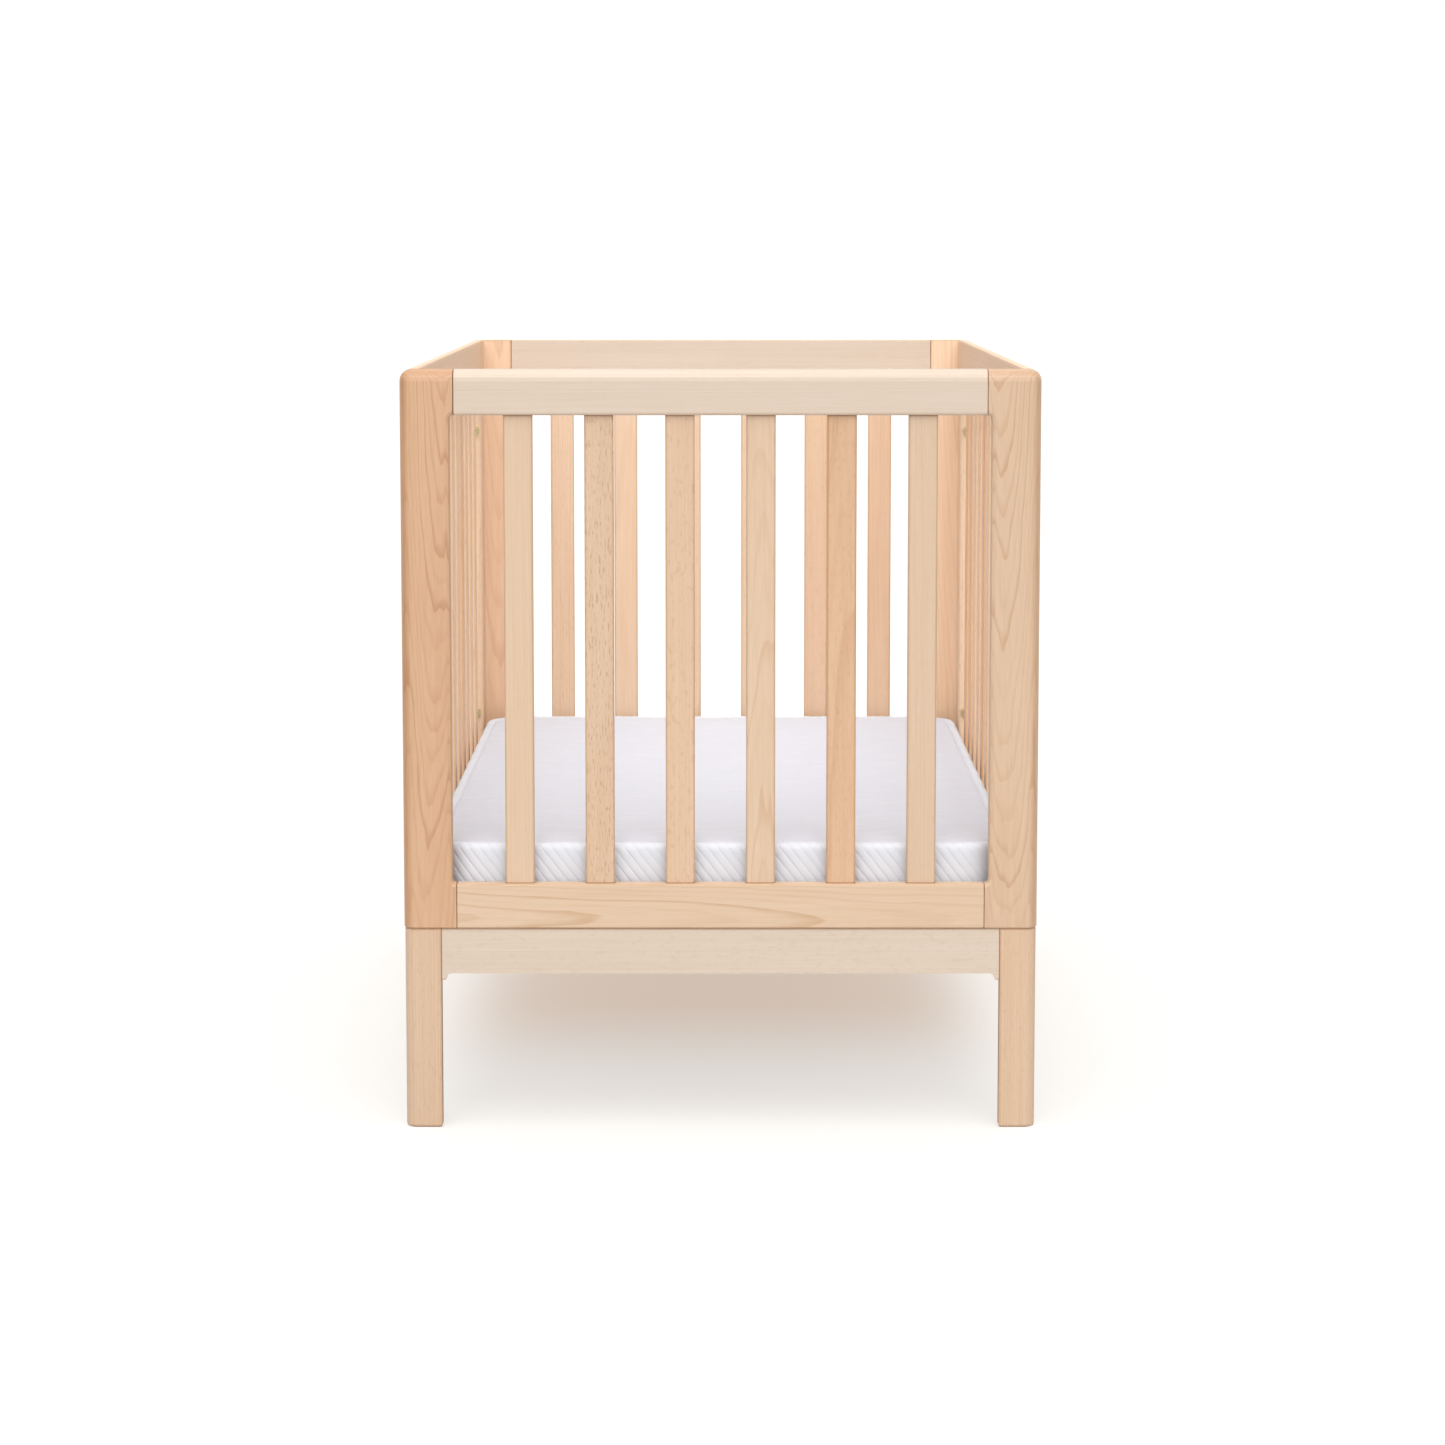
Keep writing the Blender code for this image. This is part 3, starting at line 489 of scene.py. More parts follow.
def saw(item, tone, pith, tip, ring=0.003, wave=0.004, ripple=0.0012, figure=0.25, flecks=0.05,
        mottle=0.2, shade=1.0, edge=0.003, burnish=0.8, plain=(0.0, 0.0)):
    """Gives a piece its own board. pith is where the pith lies from the piece's middle: across, behind the
    face that looks at the front, and how far along the log. tip is how the board leans, in degrees. The
    edges are tinted warmer and darker, partly as burnish and partly as painted shade; plain moves that tint
    off the piece on one side, along X and Z."""
    middle, half = box_of(item)
    aside = Vector((plain[0], 0.0, plain[1])) / 2
    wider = Vector(abs(part) for part in aside)
    lean = Euler((math.radians(tip[0]), math.radians(tip[1]), 0.0)).to_matrix()
    turn = lean @ ALIGN[longest_axis(item)].to_matrix()
    offset = Vector((-pith[0], -pith[1], pith[2])) - turn @ middle
    pale, dark = ([shade * part for part in colour] for colour in TONES[tone])
    material, tree, shader = plain_material(item.name + "_beech", pale, 0.5)
    where = add_node(tree, "TexCoord").outputs["Object"]
    mapping = add_node(tree, "Mapping", None, Vector=where, Location=offset, Rotation=turn.to_euler())
    board = add_node(tree, "Group", {"node_tree": BEECH}, Place=mapping.outputs[0], Ring_Width=ring,
                     Waviness=wave, Ripple=ripple, Figure=figure, Flecks=flecks, Mottle=mottle,
                     Pale=(*pale, 1.0), Dark=(*dark, 1.0))
    # Darker, warmer edges: partly burnish, partly painted shade on the round-overs that get less light.
    edge_burnish_and_shade = add_node(tree, "Group", {"node_tree": EDGES}, Place=where, Middle=middle + aside,
                      Half=half + wider, Width=edge)
    share = maths(tree, "MULTIPLY", edge_burnish_and_shade.outputs["Mask"], burnish)
    colour = mix_colours(tree, share, board.outputs["Color"], BURNISH_AND_SHADE_TINT, "MULTIPLY")
    axes = add_node(tree, "SeparateXYZ", None, Vector=where)
    for axis, place, tint in JOINTS.get(item.name, ()):
        away = maths(tree, "ABSOLUTE", maths(tree, "SUBTRACT", axes.outputs[axis], place))
        line = ramp(tree, away, JOINT_REACH / 2, JOINT_REACH, 1.0, 0.0)
        colour = mix_colours(tree, line, colour, tint, "MULTIPLY")
    dress(tree, shader, board, colour, BUMP_DEPTH, BUMP_STRENGTH)
    shader.inputs["Specular IOR Level"].default_value = WOOD_SHINE
    item.data.materials.clear()
    item.data.materials.append(material)


# %% [markdown]
# ## The timber of the front end
#
# These are the boards that are seen first, so each is chosen one by one. The stiles are flat-sawn and full
# of arches, the top rail is straight and creamy, the bottom rail has long flat arches, and no two slats are
# alike: some are pale and plain, some are pinker and full of flecks. The few boards of the far end and of
# the sides that show beside them are chosen as well.

# %% Boards chosen one by one
CHOSEN = {
    # The front stiles' outer round-overs get a broad, strong edge tint: mostly painted shade, with some
    # burnish.
    "front_end_left_stile": dict(
        tone="ginger", pith=(0.008, 0.036, 0.3), tip=(-2.6, -1.0), ring=0.0023, wave=0.012,
        ripple=0.0022, figure=0.62, flecks=0.06, mottle=0.3, edge=0.012, burnish=1.0,
        plain=(0.05, -0.05)),
    "front_end_right_stile": dict(
        tone="tan", pith=(-0.006, 0.04, 1.1), tip=(-2.8, 0.8), ring=0.0024, wave=0.012, ripple=0.002,
        figure=0.55, mottle=0.25, shade=0.965, edge=0.012, burnish=1.0, plain=(-0.05, -0.05)),
    "front_end_top_rail": dict(
        tone="cream", pith=(0.16, 0.05, 0.0), tip=(0.2, 0.3), wave=0.002, flecks=0.03, mottle=0.15,
        shade=0.975, edge=0.005, burnish=0.5),
    "front_end_bottom_rail": dict(
        tone="straw", pith=(0.012, 0.045, 0.4), tip=(1.4, 0.5), wave=0.006, ripple=0.0014, figure=0.62),
    "front_apron": dict(
        tone="cream", pith=(0.13, 0.03, 0.7), tip=(0.3, 0.2), ring=0.0028, wave=0.002, figure=0.28,
        flecks=0.1, shade=0.98),
    "front_end_slat_1": dict(
        tone="straw", pith=(0.1, 0.02, 0.2), tip=(0.3, 0.3), figure=0.3, flecks=0.04, mottle=0.15),
    "front_end_slat_2": dict(
        tone="tan", pith=(0.02, 0.13, 0.9), tip=(0.6, 0.2), ring=0.0034, flecks=0.52, shade=0.98),
    "front_end_slat_3": dict(
        tone="tan", pith=(0.14, 0.05, 1.7), tip=(0.2, 0.2), figure=0.2, flecks=0.2, mottle=0.15,
        shade=1.02),
    "front_end_slat_4": dict(
        tone="straw", pith=(0.0, 0.045, 0.5), tip=(2.2, 0.6), ring=0.0026, wave=0.01, ripple=0.002,
        figure=0.42, flecks=0.04, mottle=0.25),
    "front_end_slat_5": dict(
        tone="rose", pith=(0.015, 0.11, 1.3), tip=(1.0, 0.9), ring=0.0036, figure=0.35, flecks=0.24,
        mottle=0.3, shade=1.05),
    "front_end_slat_6": dict(
        tone="straw", pith=(0.12, 0.04, 0.8), tip=(0.3, 0.3), flecks=0.06, mottle=0.15, shade=0.965),
    "front_left_leg": dict(
        tone="tan", pith=(0.12, 0.05, 0.1), tip=(0.3, 0.3), flecks=0.14, shade=0.95),
    "front_right_leg": dict(
        tone="tan", pith=(-0.13, 0.04, 0.6), tip=(0.2, 0.3), flecks=0.12, shade=0.985),
    # The far end's stiles and top rail and the side top rails have shades above 1: they are painted paler,
    # as painted light for the inside of the crib.
    "back_end_left_stile": dict(
        tone="tan", pith=(0.012, 0.05, 0.3), tip=(-1.8, 0.4), ring=0.0026, figure=0.4, mottle=0.3,
        shade=1.36),
    "back_end_right_stile": dict(
        tone="straw", pith=(0.02, 0.06, 1.3), tip=(-1.4, 0.4), ring=0.0026, figure=0.35, mottle=0.3,
        shade=1.36),
    "back_end_top_rail": dict(
        tone="cream", pith=(0.13, 0.04, 0.5), tip=(0.3, 0.2), flecks=0.04, shade=1.1),
    "left_side_top_rail": dict(
        tone="tan", pith=(0.03, 0.08, 0.4), tip=(0.4, 0.3), flecks=0.04, shade=1.3),
    "right_side_top_rail": dict(
        tone="tan", pith=(-0.03, 0.09, 1.9), tip=(0.3, 0.2), flecks=0.04, shade=1.3),
}
for name, board in CHOSEN.items():
    saw(frame["nodes"][name], **board)
print("boards chosen by hand:", len(CHOSEN))

# %% [markdown]
# ## All the other boards
#
# The rest of the joinery is sawn by chance, as from a stack of timber. The draw is seeded with the
# piece's name, so the same piece always gets the same board. The grain follows the longest side of
# the piece, as a joiner would lay it.

# %% Boards by chance
METAL_OR_SOFT = ("bolt", "insert", "mattress")
SIDES_PAINTED_PALER = 1.28               # the side panels are painted paler: painted light for the inside of the crib
FAR_END_PAINTED_PALER = 1.18             # and so is the far end, as painted light


def saw_by_chance(item, tones=("straw", "tan", "tan", "rose"), shade=1.0):
    """A board drawn at random for this piece, always the same one for the same name."""
    draw = random.Random("beech " + item.name)
    tone = draw.choice(tones)
    angle = draw.uniform(0, 2 * math.pi)
    far = draw.uniform(0.06, 0.14)
    pith = (far * math.cos(angle), far * math.sin(angle), draw.uniform(0.0, 3.0))
    tip = (draw.uniform(-1.4, 1.4), draw.uniform(-1.0, 1.0))
    saw(item, tone, pith, tip, ring=draw.uniform(0.0028, 0.004), wave=draw.uniform(0.002, 0.006),
        figure=draw.uniform(0.2, 0.4), flecks=draw.uniform(0.02, 0.14), mottle=0.25,
        shade=shade * draw.uniform(0.97, 1.04))


drawn = 0
for name, item in frame["nodes"].items():
    if name in CHOSEN or any(word in name for word in METAL_OR_SOFT):
        continue
    if name.startswith("back_end"):
        saw_by_chance(item, ("straw", "tan", "straw"), FAR_END_PAINTED_PALER)
    elif "_side_" in name:
        saw_by_chance(item, shade=SIDES_PAINTED_PALER)
    else:
        saw_by_chance(item)
    drawn += 1
print("boards by chance:", drawn)

# %% [markdown]
# ## The side panels' slats and bottom rails
#
# Each side has twelve slats housed in a bottom rail. In the frame they are one solid per side; here
# every slat is its own stick with its own board. The places of the slats are read from that solid:
# at its very top there is nothing but the slats' ends, so the points there lie along the two edges
# of each slat, and two neighbouring clusters of points make one slat.

# %% Reading the slats' places
def points_near(node, axis, level, reach=0.0005):
    """The points of a frame piece that lie on a plane across one axis."""
    return [point.co for point in frame["nodes"][node].data.vertices if abs(point.co[axis] - level) < reach]


def spans(values, gap=0.01):
    """Clusters numbers that lie closer than gap, and pairs the clusters: each pair is one stick."""
    ordered = sorted(values)
    clusters = [[ordered[0], ordered[0]]]
    for value in ordered[1:]:
        if value - clusters[-1][1] > gap:
            clusters.append([value, value])
        clusters[-1][1] = value
    return [(near[0], far[1]) for near, far in zip(clusters[::2], clusters[1::2])]


SIDES = ("left_side", "right_side")
SLAT_TOPS = {}
for side in SIDES:
    node = side + "_slats_and_bottom_rail"
    ends = points_near(node, 2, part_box(node)[1].z)
    across = [point.x for point in ends]
    SLAT_TOPS[side] = (spans([point.y for point in ends]), (min(across), max(across)))
    print(side, "slats:", len(SLAT_TOPS[side][0]))

# %% [markdown]
# A slat is a plain stick with its long edges rounded over on a router table. In Blender that is a
# cube at the stick's size, with its long edges selected and bevelled. Its two ends sit in
# pockets, so they stay square.

# %% Sticks
def start_box(name, low, high):
    """A cube that fills the space between two corners, with its place in its mesh."""
    clear_selection()
    bpy.ops.mesh.primitive_cube_add(size=1.0)
    item = bpy.context.object
    item.name = name
    low, high = Vector(low), Vector(high)
    item.data.transform(Matrix.Translation((low + high) / 2) @ Matrix.Diagonal((*(high - low), 1.0)))
    item.data.update()
    return item


def take(item):
    """Makes a piece the only selected one and the active one, so that operators act on it."""
    clear_selection()
    bpy.context.view_layer.objects.active = item
    item.select_set(True)


def pick(item, parts, test):
    """Goes to edit mode with the edges (EDGE) or points (VERT) selected that pass a test."""
    bpy.ops.object.mode_set(mode="OBJECT")
    take(item)
    bpy.ops.object.mode_set(mode="EDIT")
    bpy.ops.mesh.select_mode(type=parts)
    bpy.ops.mesh.select_all(action="DESELECT")
    bpy.ops.object.mode_set(mode="OBJECT")
    points = item.data.vertices
    if parts == "EDGE":
        for edge in item.data.edges:
            edge.select = test(*(points[index].co for index in edge.vertices))
    else:
        for point in points:
            point.select = test(point.co)
    bpy.ops.object.mode_set(mode="EDIT")


def smooth(item, degrees=40):
    """Smooth shading over round edges, sharp at real corners."""
    take(item)
    bpy.ops.object.shade_smooth_by_angle(angle=math.radians(degrees))


def round_long_edges(item, width, steps=3):
    """Rounds the edges that run along the piece, as a router does."""
    axis = "XYZ".index(longest_axis(item))
    length = item.dimensions[axis]
    pick(item, "EDGE", lambda a, b: abs(a[axis] - b[axis]) > length / 2)
    bpy.ops.mesh.bevel(offset=width, segments=steps, affect="EDGES")
    bpy.ops.object.mode_set(mode="OBJECT")
    smooth(item)


def modify(item, kind, **settings):
    """Adds a modifier with its settings, and applies it."""
    step = item.modifiers.new(kind.lower(), kind)
    for name, value in settings.items():
        setattr(step, name, value)
    bpy.context.view_layer.objects.active = item
    bpy.ops.object.modifier_apply(modifier=step.name)


def combine(item, other, how):
    """Adds another piece's shape to this one (UNION) or takes it out (DIFFERENCE). The other goes."""
    modify(item, "BOOLEAN", operation=how, solver="EXACT", object=other)
    bpy.data.objects.remove(other)


def joined(items, name):
    """Joins several pieces into one object."""
    clear_selection()
    for item in items:
        item.select_set(True)
    bpy.context.view_layer.objects.active = items[0]
    bpy.ops.object.join()
    items[0].name = name
    return items[0]


# %% [markdown]
# The bottom rail of a side runs between its two stiles, with a tenon at each end that goes into
# them. The rail is a stick between the stiles, and its tenons are one thinner, longer stick that
# runs right through it and is joined to it with a Boolean, which is less work than an inset and an
# extrusion at both ends. The pockets for the slats are cut with a second Boolean, by one cutter that
# is made of twelve small blocks.

# %% Side rails and slats
EASE = 0.002                # rounded edges of the slats and rails
FIT = 0.0003                # play between pieces that touch
HOUSING = 0.010             # depth of a slat's pocket
TENON_SHOULDER = (0.0055, 0.010)     # what is left round a tenon: across the rail, and up and down


def side_rail(side, low, high, rail_top):
    """The bottom rail of one side, with its tenons. low and high are the corners of the frame's piece."""
    stile_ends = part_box(side + "_front_stile")[1].y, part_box(side + "_back_stile")[0].y
    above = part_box(side + "_top_rail")
    start = Vector((above[0].x, stile_ends[0] + FIT, low.z))
    end = Vector((above[1].x, stile_ends[1] - FIT, rail_top))
    rail = start_box(side + "_bottom_rail", start, end)
    round_long_edges(rail, EASE)
    low_corner = (start.x + TENON_SHOULDER[0], low.y, start.z + TENON_SHOULDER[1])
    high_corner = (end.x - TENON_SHOULDER[0], high.y, end.z - TENON_SHOULDER[1])
    combine(rail, start_box("tenons", low_corner, high_corner), "UNION")
    return rail


rail_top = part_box("front_end_bottom_rail")[1].z
for side in SIDES:
    node = side + "_slats_and_bottom_rail"
    low_end, high_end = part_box(node)
    rail = side_rail(side, low_end, high_end, rail_top)
    places, across = SLAT_TOPS[side]
    slats, blocks = [], []
    for number, (near, far) in enumerate(places, start=1):
        low = (across[0], near, rail_top - HOUSING + FIT)
        slat = start_box(f"{side}_slat_{number}", low, (across[1], far, high_end.z))
        round_long_edges(slat, EASE)
        saw_by_chance(slat, shade=SIDES_PAINTED_PALER)
        slats.append(slat)
        pocket_low = (across[0] - FIT, near - FIT, rail_top - HOUSING)
        blocks.append(start_box("pocket", pocket_low, (across[1] + FIT, far + FIT, rail_top + HOUSING)))
    combine(rail, joined(blocks, "pockets"), "DIFFERENCE")
    smooth(rail)
    saw_by_chance(rail, shade=SIDES_PAINTED_PALER)
    for piece in (rail, *slats):
        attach(piece, "crib")
    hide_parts(node)
    print(side, "rail:", len(rail.data.polygons), "faces, slats:", len(slats))

# %% [markdown]
# ## The slatted deck
#
# The mattress lies on fourteen flat slats, let into two bearers and held by a screw at each
# crossing. In the frame the deck is one solid. The slats' places are read from the points at
# its top, and the bearers' from those at its bottom.

# %% Deck slats and bearers
SLAT_SINK = 0.003           # how deep a slat is let into the bearers
DECK_EASE = 0.0015
END_REACH = 0.002           # how near the deck's end a point counts as on a slat's end

deck_low, deck_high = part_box("mattress_deck")
deck_rows = spans([point.y for point in points_near("mattress_deck", 2, deck_high.z)])
bearer_columns = spans([point.x for point in points_near("mattress_deck", 2, deck_low.z)])
slat_bottom = min(point.z for point in points_near("mattress_deck", 0, deck_high.x, END_REACH))

deck_slats = []
for number, (near, far) in enumerate(deck_rows, start=1):
    low, high = (deck_low.x, near, slat_bottom), (deck_high.x, far, deck_high.z)
    slat = start_box(f"deck_slat_{number}", low, high)
    round_long_edges(slat, DECK_EASE)
    saw_by_chance(slat, ("cream", "straw"))
    deck_slats.append(slat)

bearers = []
for name, (left, right) in zip(("left", "right"), bearer_columns):
    low, high = (left, deck_low.y, deck_low.z), (right, deck_high.y, slat_bottom + SLAT_SINK)
    bearer = start_box(f"deck_{name}_bearer", low, high)
    round_long_edges(bearer, DECK_EASE)
    notches = []
    for near, far in deck_rows:
        low, high = (left - FIT, near - FIT, slat_bottom - FIT), (right + FIT, far + FIT, deck_high.z)
        notches.append(start_box("notch", low, high))
    combine(bearer, joined(notches, "notches"), "DIFFERENCE")
    smooth(bearer)
    saw_by_chance(bearer, ("straw", "tan"))
    bearers.append(bearer)
print("deck:", len(deck_slats), "slats on", len(bearers), "bearers")

# %% [markdown]
# ## Metal
#
# The bolts have a yellow zinc finish: greenish gold with patches of other tints, because the film on the
# zinc varies in thickness. The inserts are brass and the deck's screws are bright zinc. One group makes all
# three. It clouds a base colour towards a second one and roughens it finely, and each material gives it its
# own two colours. The sockets in the heads have a plain near-black material of their own: partly black oxide
# in the hollow, partly painted shade of the recess.

# %% Metal group and its materials
CLOUDS = 260.0                   # waves per metre of the patches of tint
FINE_GRAIN = 2600.0
CLOUD_EDGES = (0.35, 0.65)
METAL_SMOOTHEST = 0.18
GRAIN_ROUGHNESS = 0.25           # what the fine grain adds to it
METAL_BUMP_DEPTH = 0.00003
METAL_BUMP_STRENGTH = 0.5


def build_plating():
    """The node group for plated metal: a clouded colour, roughness and fine grain."""
    inputs = [("Place", "Vector", None), ("Base", "Color", None), ("Tint", "Color", None)]
    outputs = [("Color", "Color"), ("Roughness", "Float"), ("Height", "Float")]
    tree, given, result = new_group("plating", inputs, outputs)
    given = given.outputs
    cloud = noise(tree, given["Place"], CLOUDS, CLOUDS, 3.0).outputs["Fac"]
    fine = noise(tree, given["Place"], FINE_GRAIN, FINE_GRAIN).outputs["Fac"]
    cloudy = ramp(tree, cloud, *CLOUD_EDGES)
    feed(tree, result.inputs["Color"], mix_colours(tree, cloudy, given["Base"], given["Tint"]))
    rough = maths(tree, "ADD", maths(tree, "MULTIPLY", fine, GRAIN_ROUGHNESS), METAL_SMOOTHEST)
    feed(tree, result.inputs["Roughness"], rough)
    feed(tree, result.inputs["Height"], fine)
    return tree


PLATING = build_plating()


def plated(name, base, tint):
    """A plated metal with two tints that cloud into each other."""
    material, tree, shader = plain_material(name, base, 0.3, 1.0)
    where = add_node(tree, "TexCoord").outputs["Object"]
    film = add_node(tree, "Group", {"node_tree": PLATING}, Place=where, Base=(*base, 1.0), Tint=(*tint, 1.0))
    dress(tree, shader, film, film.outputs["Color"], METAL_BUMP_DEPTH, METAL_BUMP_STRENGTH)
    return material


YELLOW_ZINC = plated("yellow_zinc", (0.74, 0.64, 0.36), (0.62, 0.58, 0.33))
BRIGHT_ZINC = plated("bright_zinc", (0.72, 0.73, 0.75), (0.60, 0.62, 0.66))
SOCKET_OXIDE_AND_SHADE = plain_material("socket_black", (0.03, 0.03, 0.03), 0.6)[0]
BRASS = plated("brass", (0.78, 0.58, 0.26), (0.66, 0.46, 0.18))
for name, item in frame["nodes"].items():
    if "insert" in name:
        item.data.materials.clear()
        item.data.materials.append(BRASS)
print("finishes:", YELLOW_ZINC.name, BRIGHT_ZINC.name, SOCKET_OXIDE_AND_SHADE.name, BRASS.name)

# %% [markdown]
# ## The bolts
#
# A side panel is pulled against the end stiles by bolts with a flat head and a hexagon socket. The
# head is made from the socket outwards: a hexagon whose sides are cut in four, and a circle with
# the same number of points, bridged into the ring between them. The hexagon is extruded down to
# make the socket, and the circle is extruded round the head and down to the shank. It is made once,
# standing on Z, and each bolt is a copy that is turned and moved to its place.

# %% One bolt
HEAD_STEPS = 24             # points round the head, four to each side of the socket
SOCKET_ROUND = 0.0031       # hexagon socket, to its corners
SOCKET_DEPTH = 0.0024
HEAD_HEIGHT = 0.0032
SHANK_RADIUS = 0.003
HEAD_EASE = 0.0007
TIP_SHARE = 0.75            # how far the shank's tip narrows
WELD = 0.00001              # points nearer than this become one


def pull(distance, share=1.0):
    """Extrudes the selected edges along Z, and scales them to a share of their size."""
    bpy.ops.mesh.extrude_region_move(TRANSFORM_OT_translate={"value": (0, 0, distance)})
    if share != 1.0:
        bpy.ops.transform.resize(value=(share, share, 1.0), center_override=(0, 0, 0))


def fastener(name, head_radius, length, finish):
    """A bolt that stands on its tip along Z, with the top of its head on Z = 0."""
    clear_selection()
    bpy.ops.mesh.primitive_circle_add(vertices=6, radius=SOCKET_ROUND)
    item = bpy.context.object
    item.name = name
    bpy.ops.object.mode_set(mode="EDIT")
    bpy.ops.mesh.subdivide(number_cuts=HEAD_STEPS // 6 - 1)
    bpy.ops.mesh.primitive_circle_add(vertices=HEAD_STEPS, radius=head_radius - HEAD_EASE)
    bpy.ops.mesh.select_all(action="SELECT")
    bpy.ops.mesh.bridge_edge_loops()
    limit = SOCKET_ROUND * 1.01             # everything of the socket lies within this radius
    pick(item, "VERT", lambda co: co.xy.length > limit)
    pull(-HEAD_EASE, head_radius / (head_radius - HEAD_EASE))
    pull(-(HEAD_HEIGHT - HEAD_EASE))
    pull(0.0, SHANK_RADIUS / head_radius)
    pull(-(length - HEAD_HEIGHT - HEAD_EASE))
    pull(-HEAD_EASE, TIP_SHARE)
    bpy.ops.mesh.edge_face_add()
    pick(item, "VERT", lambda co: co.xy.length < limit and co.z > -HEAD_EASE / 2)
    pull(-SOCKET_DEPTH)
    bpy.ops.mesh.edge_face_add()
    bpy.ops.mesh.select_all(action="SELECT")
    bpy.ops.mesh.remove_doubles(threshold=WELD)
    bpy.ops.mesh.normals_make_consistent(inside=False)
    bpy.ops.object.mode_set(mode="OBJECT")
    smooth(item, 30)
    item.data.materials.append(finish)
    item.data.materials.append(SOCKET_OXIDE_AND_SHADE)
    # Socket faces: near-black, partly oxide and partly painted shade of the recess.
    for face in item.data.polygons:
        inside = all(item.data.vertices[index].co.xy.length < limit for index in face.vertices)
        face.material_index = 1 if inside and face.center.z > -HEAD_HEIGHT else 0
    return item


def copied(pattern, name, place):
    """A copy of a pattern with its own mesh, put in place in its mesh."""
    item = bpy.data.objects.new(name, pattern.data.copy())
    bpy.context.collection.objects.link(item)
    item.data.transform(place)
    item.data.update()
    return item


# %% Eight bolts in place
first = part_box("front_left_upper_bolt")
head_radius = (first[1].x - first[0].x) / 2
bolt_pattern = fastener("bolt_pattern", head_radius, first[1].y - first[0].y, YELLOW_ZINC)
for node in [name for name in frame["nodes"] if name.endswith("bolt")]:
    low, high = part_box(node)
    middle = (low + high) / 2
    front = middle.y < 0
    tilt = Matrix.Rotation(math.radians(-90 if front else 90), 4, "X")
    twist = Matrix.Rotation(random.Random(node).uniform(0, math.pi), 4, "Z")
    place = Matrix.Translation((middle.x, high.y if front else low.y, middle.z)) @ tilt @ twist
    bolt = copied(bolt_pattern, "panel_" + node, place)
    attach(bolt, "crib")
    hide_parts(node)
bpy.data.objects.remove(bolt_pattern)
bolts = [item for item in bpy.data.objects if item.name.startswith("panel_")]
print("bolts:", len(bolts), "head", round(head_radius * 2000, 1), "mm")

# %% [markdown]
# The deck's screws are made the same way, shorter and with a smaller head, and set flush with the
# top of the slats at every crossing of a slat and a bearer.

# %% Deck screws
SCREW_RADIUS = 0.004
SCREW_LENGTH = 0.015
screw_pattern = fastener("screw_pattern", SCREW_RADIUS, SCREW_LENGTH, BRIGHT_ZINC)
for name, (left, right) in zip(("left", "right"), bearer_columns):
    screws = []
    for number, (near, far) in enumerate(deck_rows, start=1):
        place = Matrix.Translation(((left + right) / 2, (near + far) / 2, deck_high.z))
        screws.append(copied(screw_pattern, f"screw_{number}", place))
    row = joined(screws, f"deck_{name}_screws")
    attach(row, "crib")
bpy.data.objects.remove(screw_pattern)
for piece in (*bearers, *deck_slats):
    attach(piece, "crib")
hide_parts("mattress_deck")
print("screws:", 2 * len(deck_rows))

# %% [markdown]
# ## The mattress
#
# A foam core in a knitted cover. The cover is three pieces of cloth: a top and a bottom panel, and
# a ribbed border that runs round the side and is sewn to both. The top is soft and very slightly
# crowned, and the border rolls over the top edge to meet it.
#
# The body is made with a cloth simulation, because that is how a filled cover gets its shape: a
# box with rounded corners, slightly too small, is blown up from inside and stopped after a few
# millimetres. A voxel remesh first gives it even squares for the cloth to bend along. The bottom
# stays flat, because it lies on the deck.

# %% The body, before it is filled
MATTRESS_LOW, MATTRESS_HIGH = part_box("mattress")
CORNER = 0.058              # plan radius of the mattress's corners
EDGE = 0.005                # round-over along its top and bottom
SWELL = 0.004               # how far the filling may push the cover
BORDER_OVER = 0.003         # how far the border lies outside the body
VOXEL = 0.0095
PRESSURE = 4.0
CLOTH_FRAMES = 20
LIFT = 0.0005               # how far the body's underside stays above the deck
CORNER_STEPS = 8
EDGE_STEPS = 4


def rounded_block(name, low, high, corner, edge):
    """A block with round upright corners and softer top and bottom edges."""
    item = start_box(name, low, high)
    tall = (high[2] - low[2]) / 2
    pick(item, "EDGE", lambda a, b: abs(a.z - b.z) > tall)
    bpy.ops.mesh.bevel(offset=corner, segments=CORNER_STEPS, affect="EDGES")
    pick(item, "EDGE", lambda a, b: abs(a.z - b.z) < edge)
    bpy.ops.mesh.bevel(offset=edge, segments=EDGE_STEPS, affect="EDGES")
    bpy.ops.object.mode_set(mode="OBJECT")
    return item


inner = Vector((BORDER_OVER + SWELL, BORDER_OVER + SWELL, 0.0))
body_low = MATTRESS_LOW + inner + Vector((0, 0, LIFT))
body_high = MATTRESS_HIGH - inner - Vector((0, 0, SWELL))
mattress = rounded_block("mattress_body", body_low, body_high, CORNER - BORDER_OVER, EDGE)
print("mattress:", [round(side * 1000) for side in MATTRESS_HIGH - MATTRESS_LOW], "mm")

# %% Fill the cover
STIFFNESS = 15.0            # how hard the cover is to stretch
BENDING = 2.0
CLOTH_MASS = 0.3
CLOTH_QUALITY = 5


def blow_up(item):
    """Runs the cloth simulation and returns where it takes each point."""
    cloth = item.modifiers.new("cover", "CLOTH")
    cloth.settings.quality = CLOTH_QUALITY
    cloth.settings.mass = CLOTH_MASS
    cloth.settings.tension_stiffness = STIFFNESS
    cloth.settings.compression_stiffness = STIFFNESS
    cloth.settings.bending_stiffness = BENDING
    cloth.settings.use_pressure = True
    cloth.settings.uniform_pressure_force = PRESSURE
    cloth.settings.effector_weights.gravity = 0.0
    cloth.point_cache.frame_start = 1
    cloth.point_cache.frame_end = CLOTH_FRAMES
    for moment in range(1, CLOTH_FRAMES + 1):
        bpy.context.scene.frame_set(moment)
    blown = item.evaluated_get(bpy.context.evaluated_depsgraph_get())
    after = [point.co.copy() for point in blown.data.vertices]
    item.modifiers.remove(cloth)
    bpy.context.scene.frame_set(1)
    return after


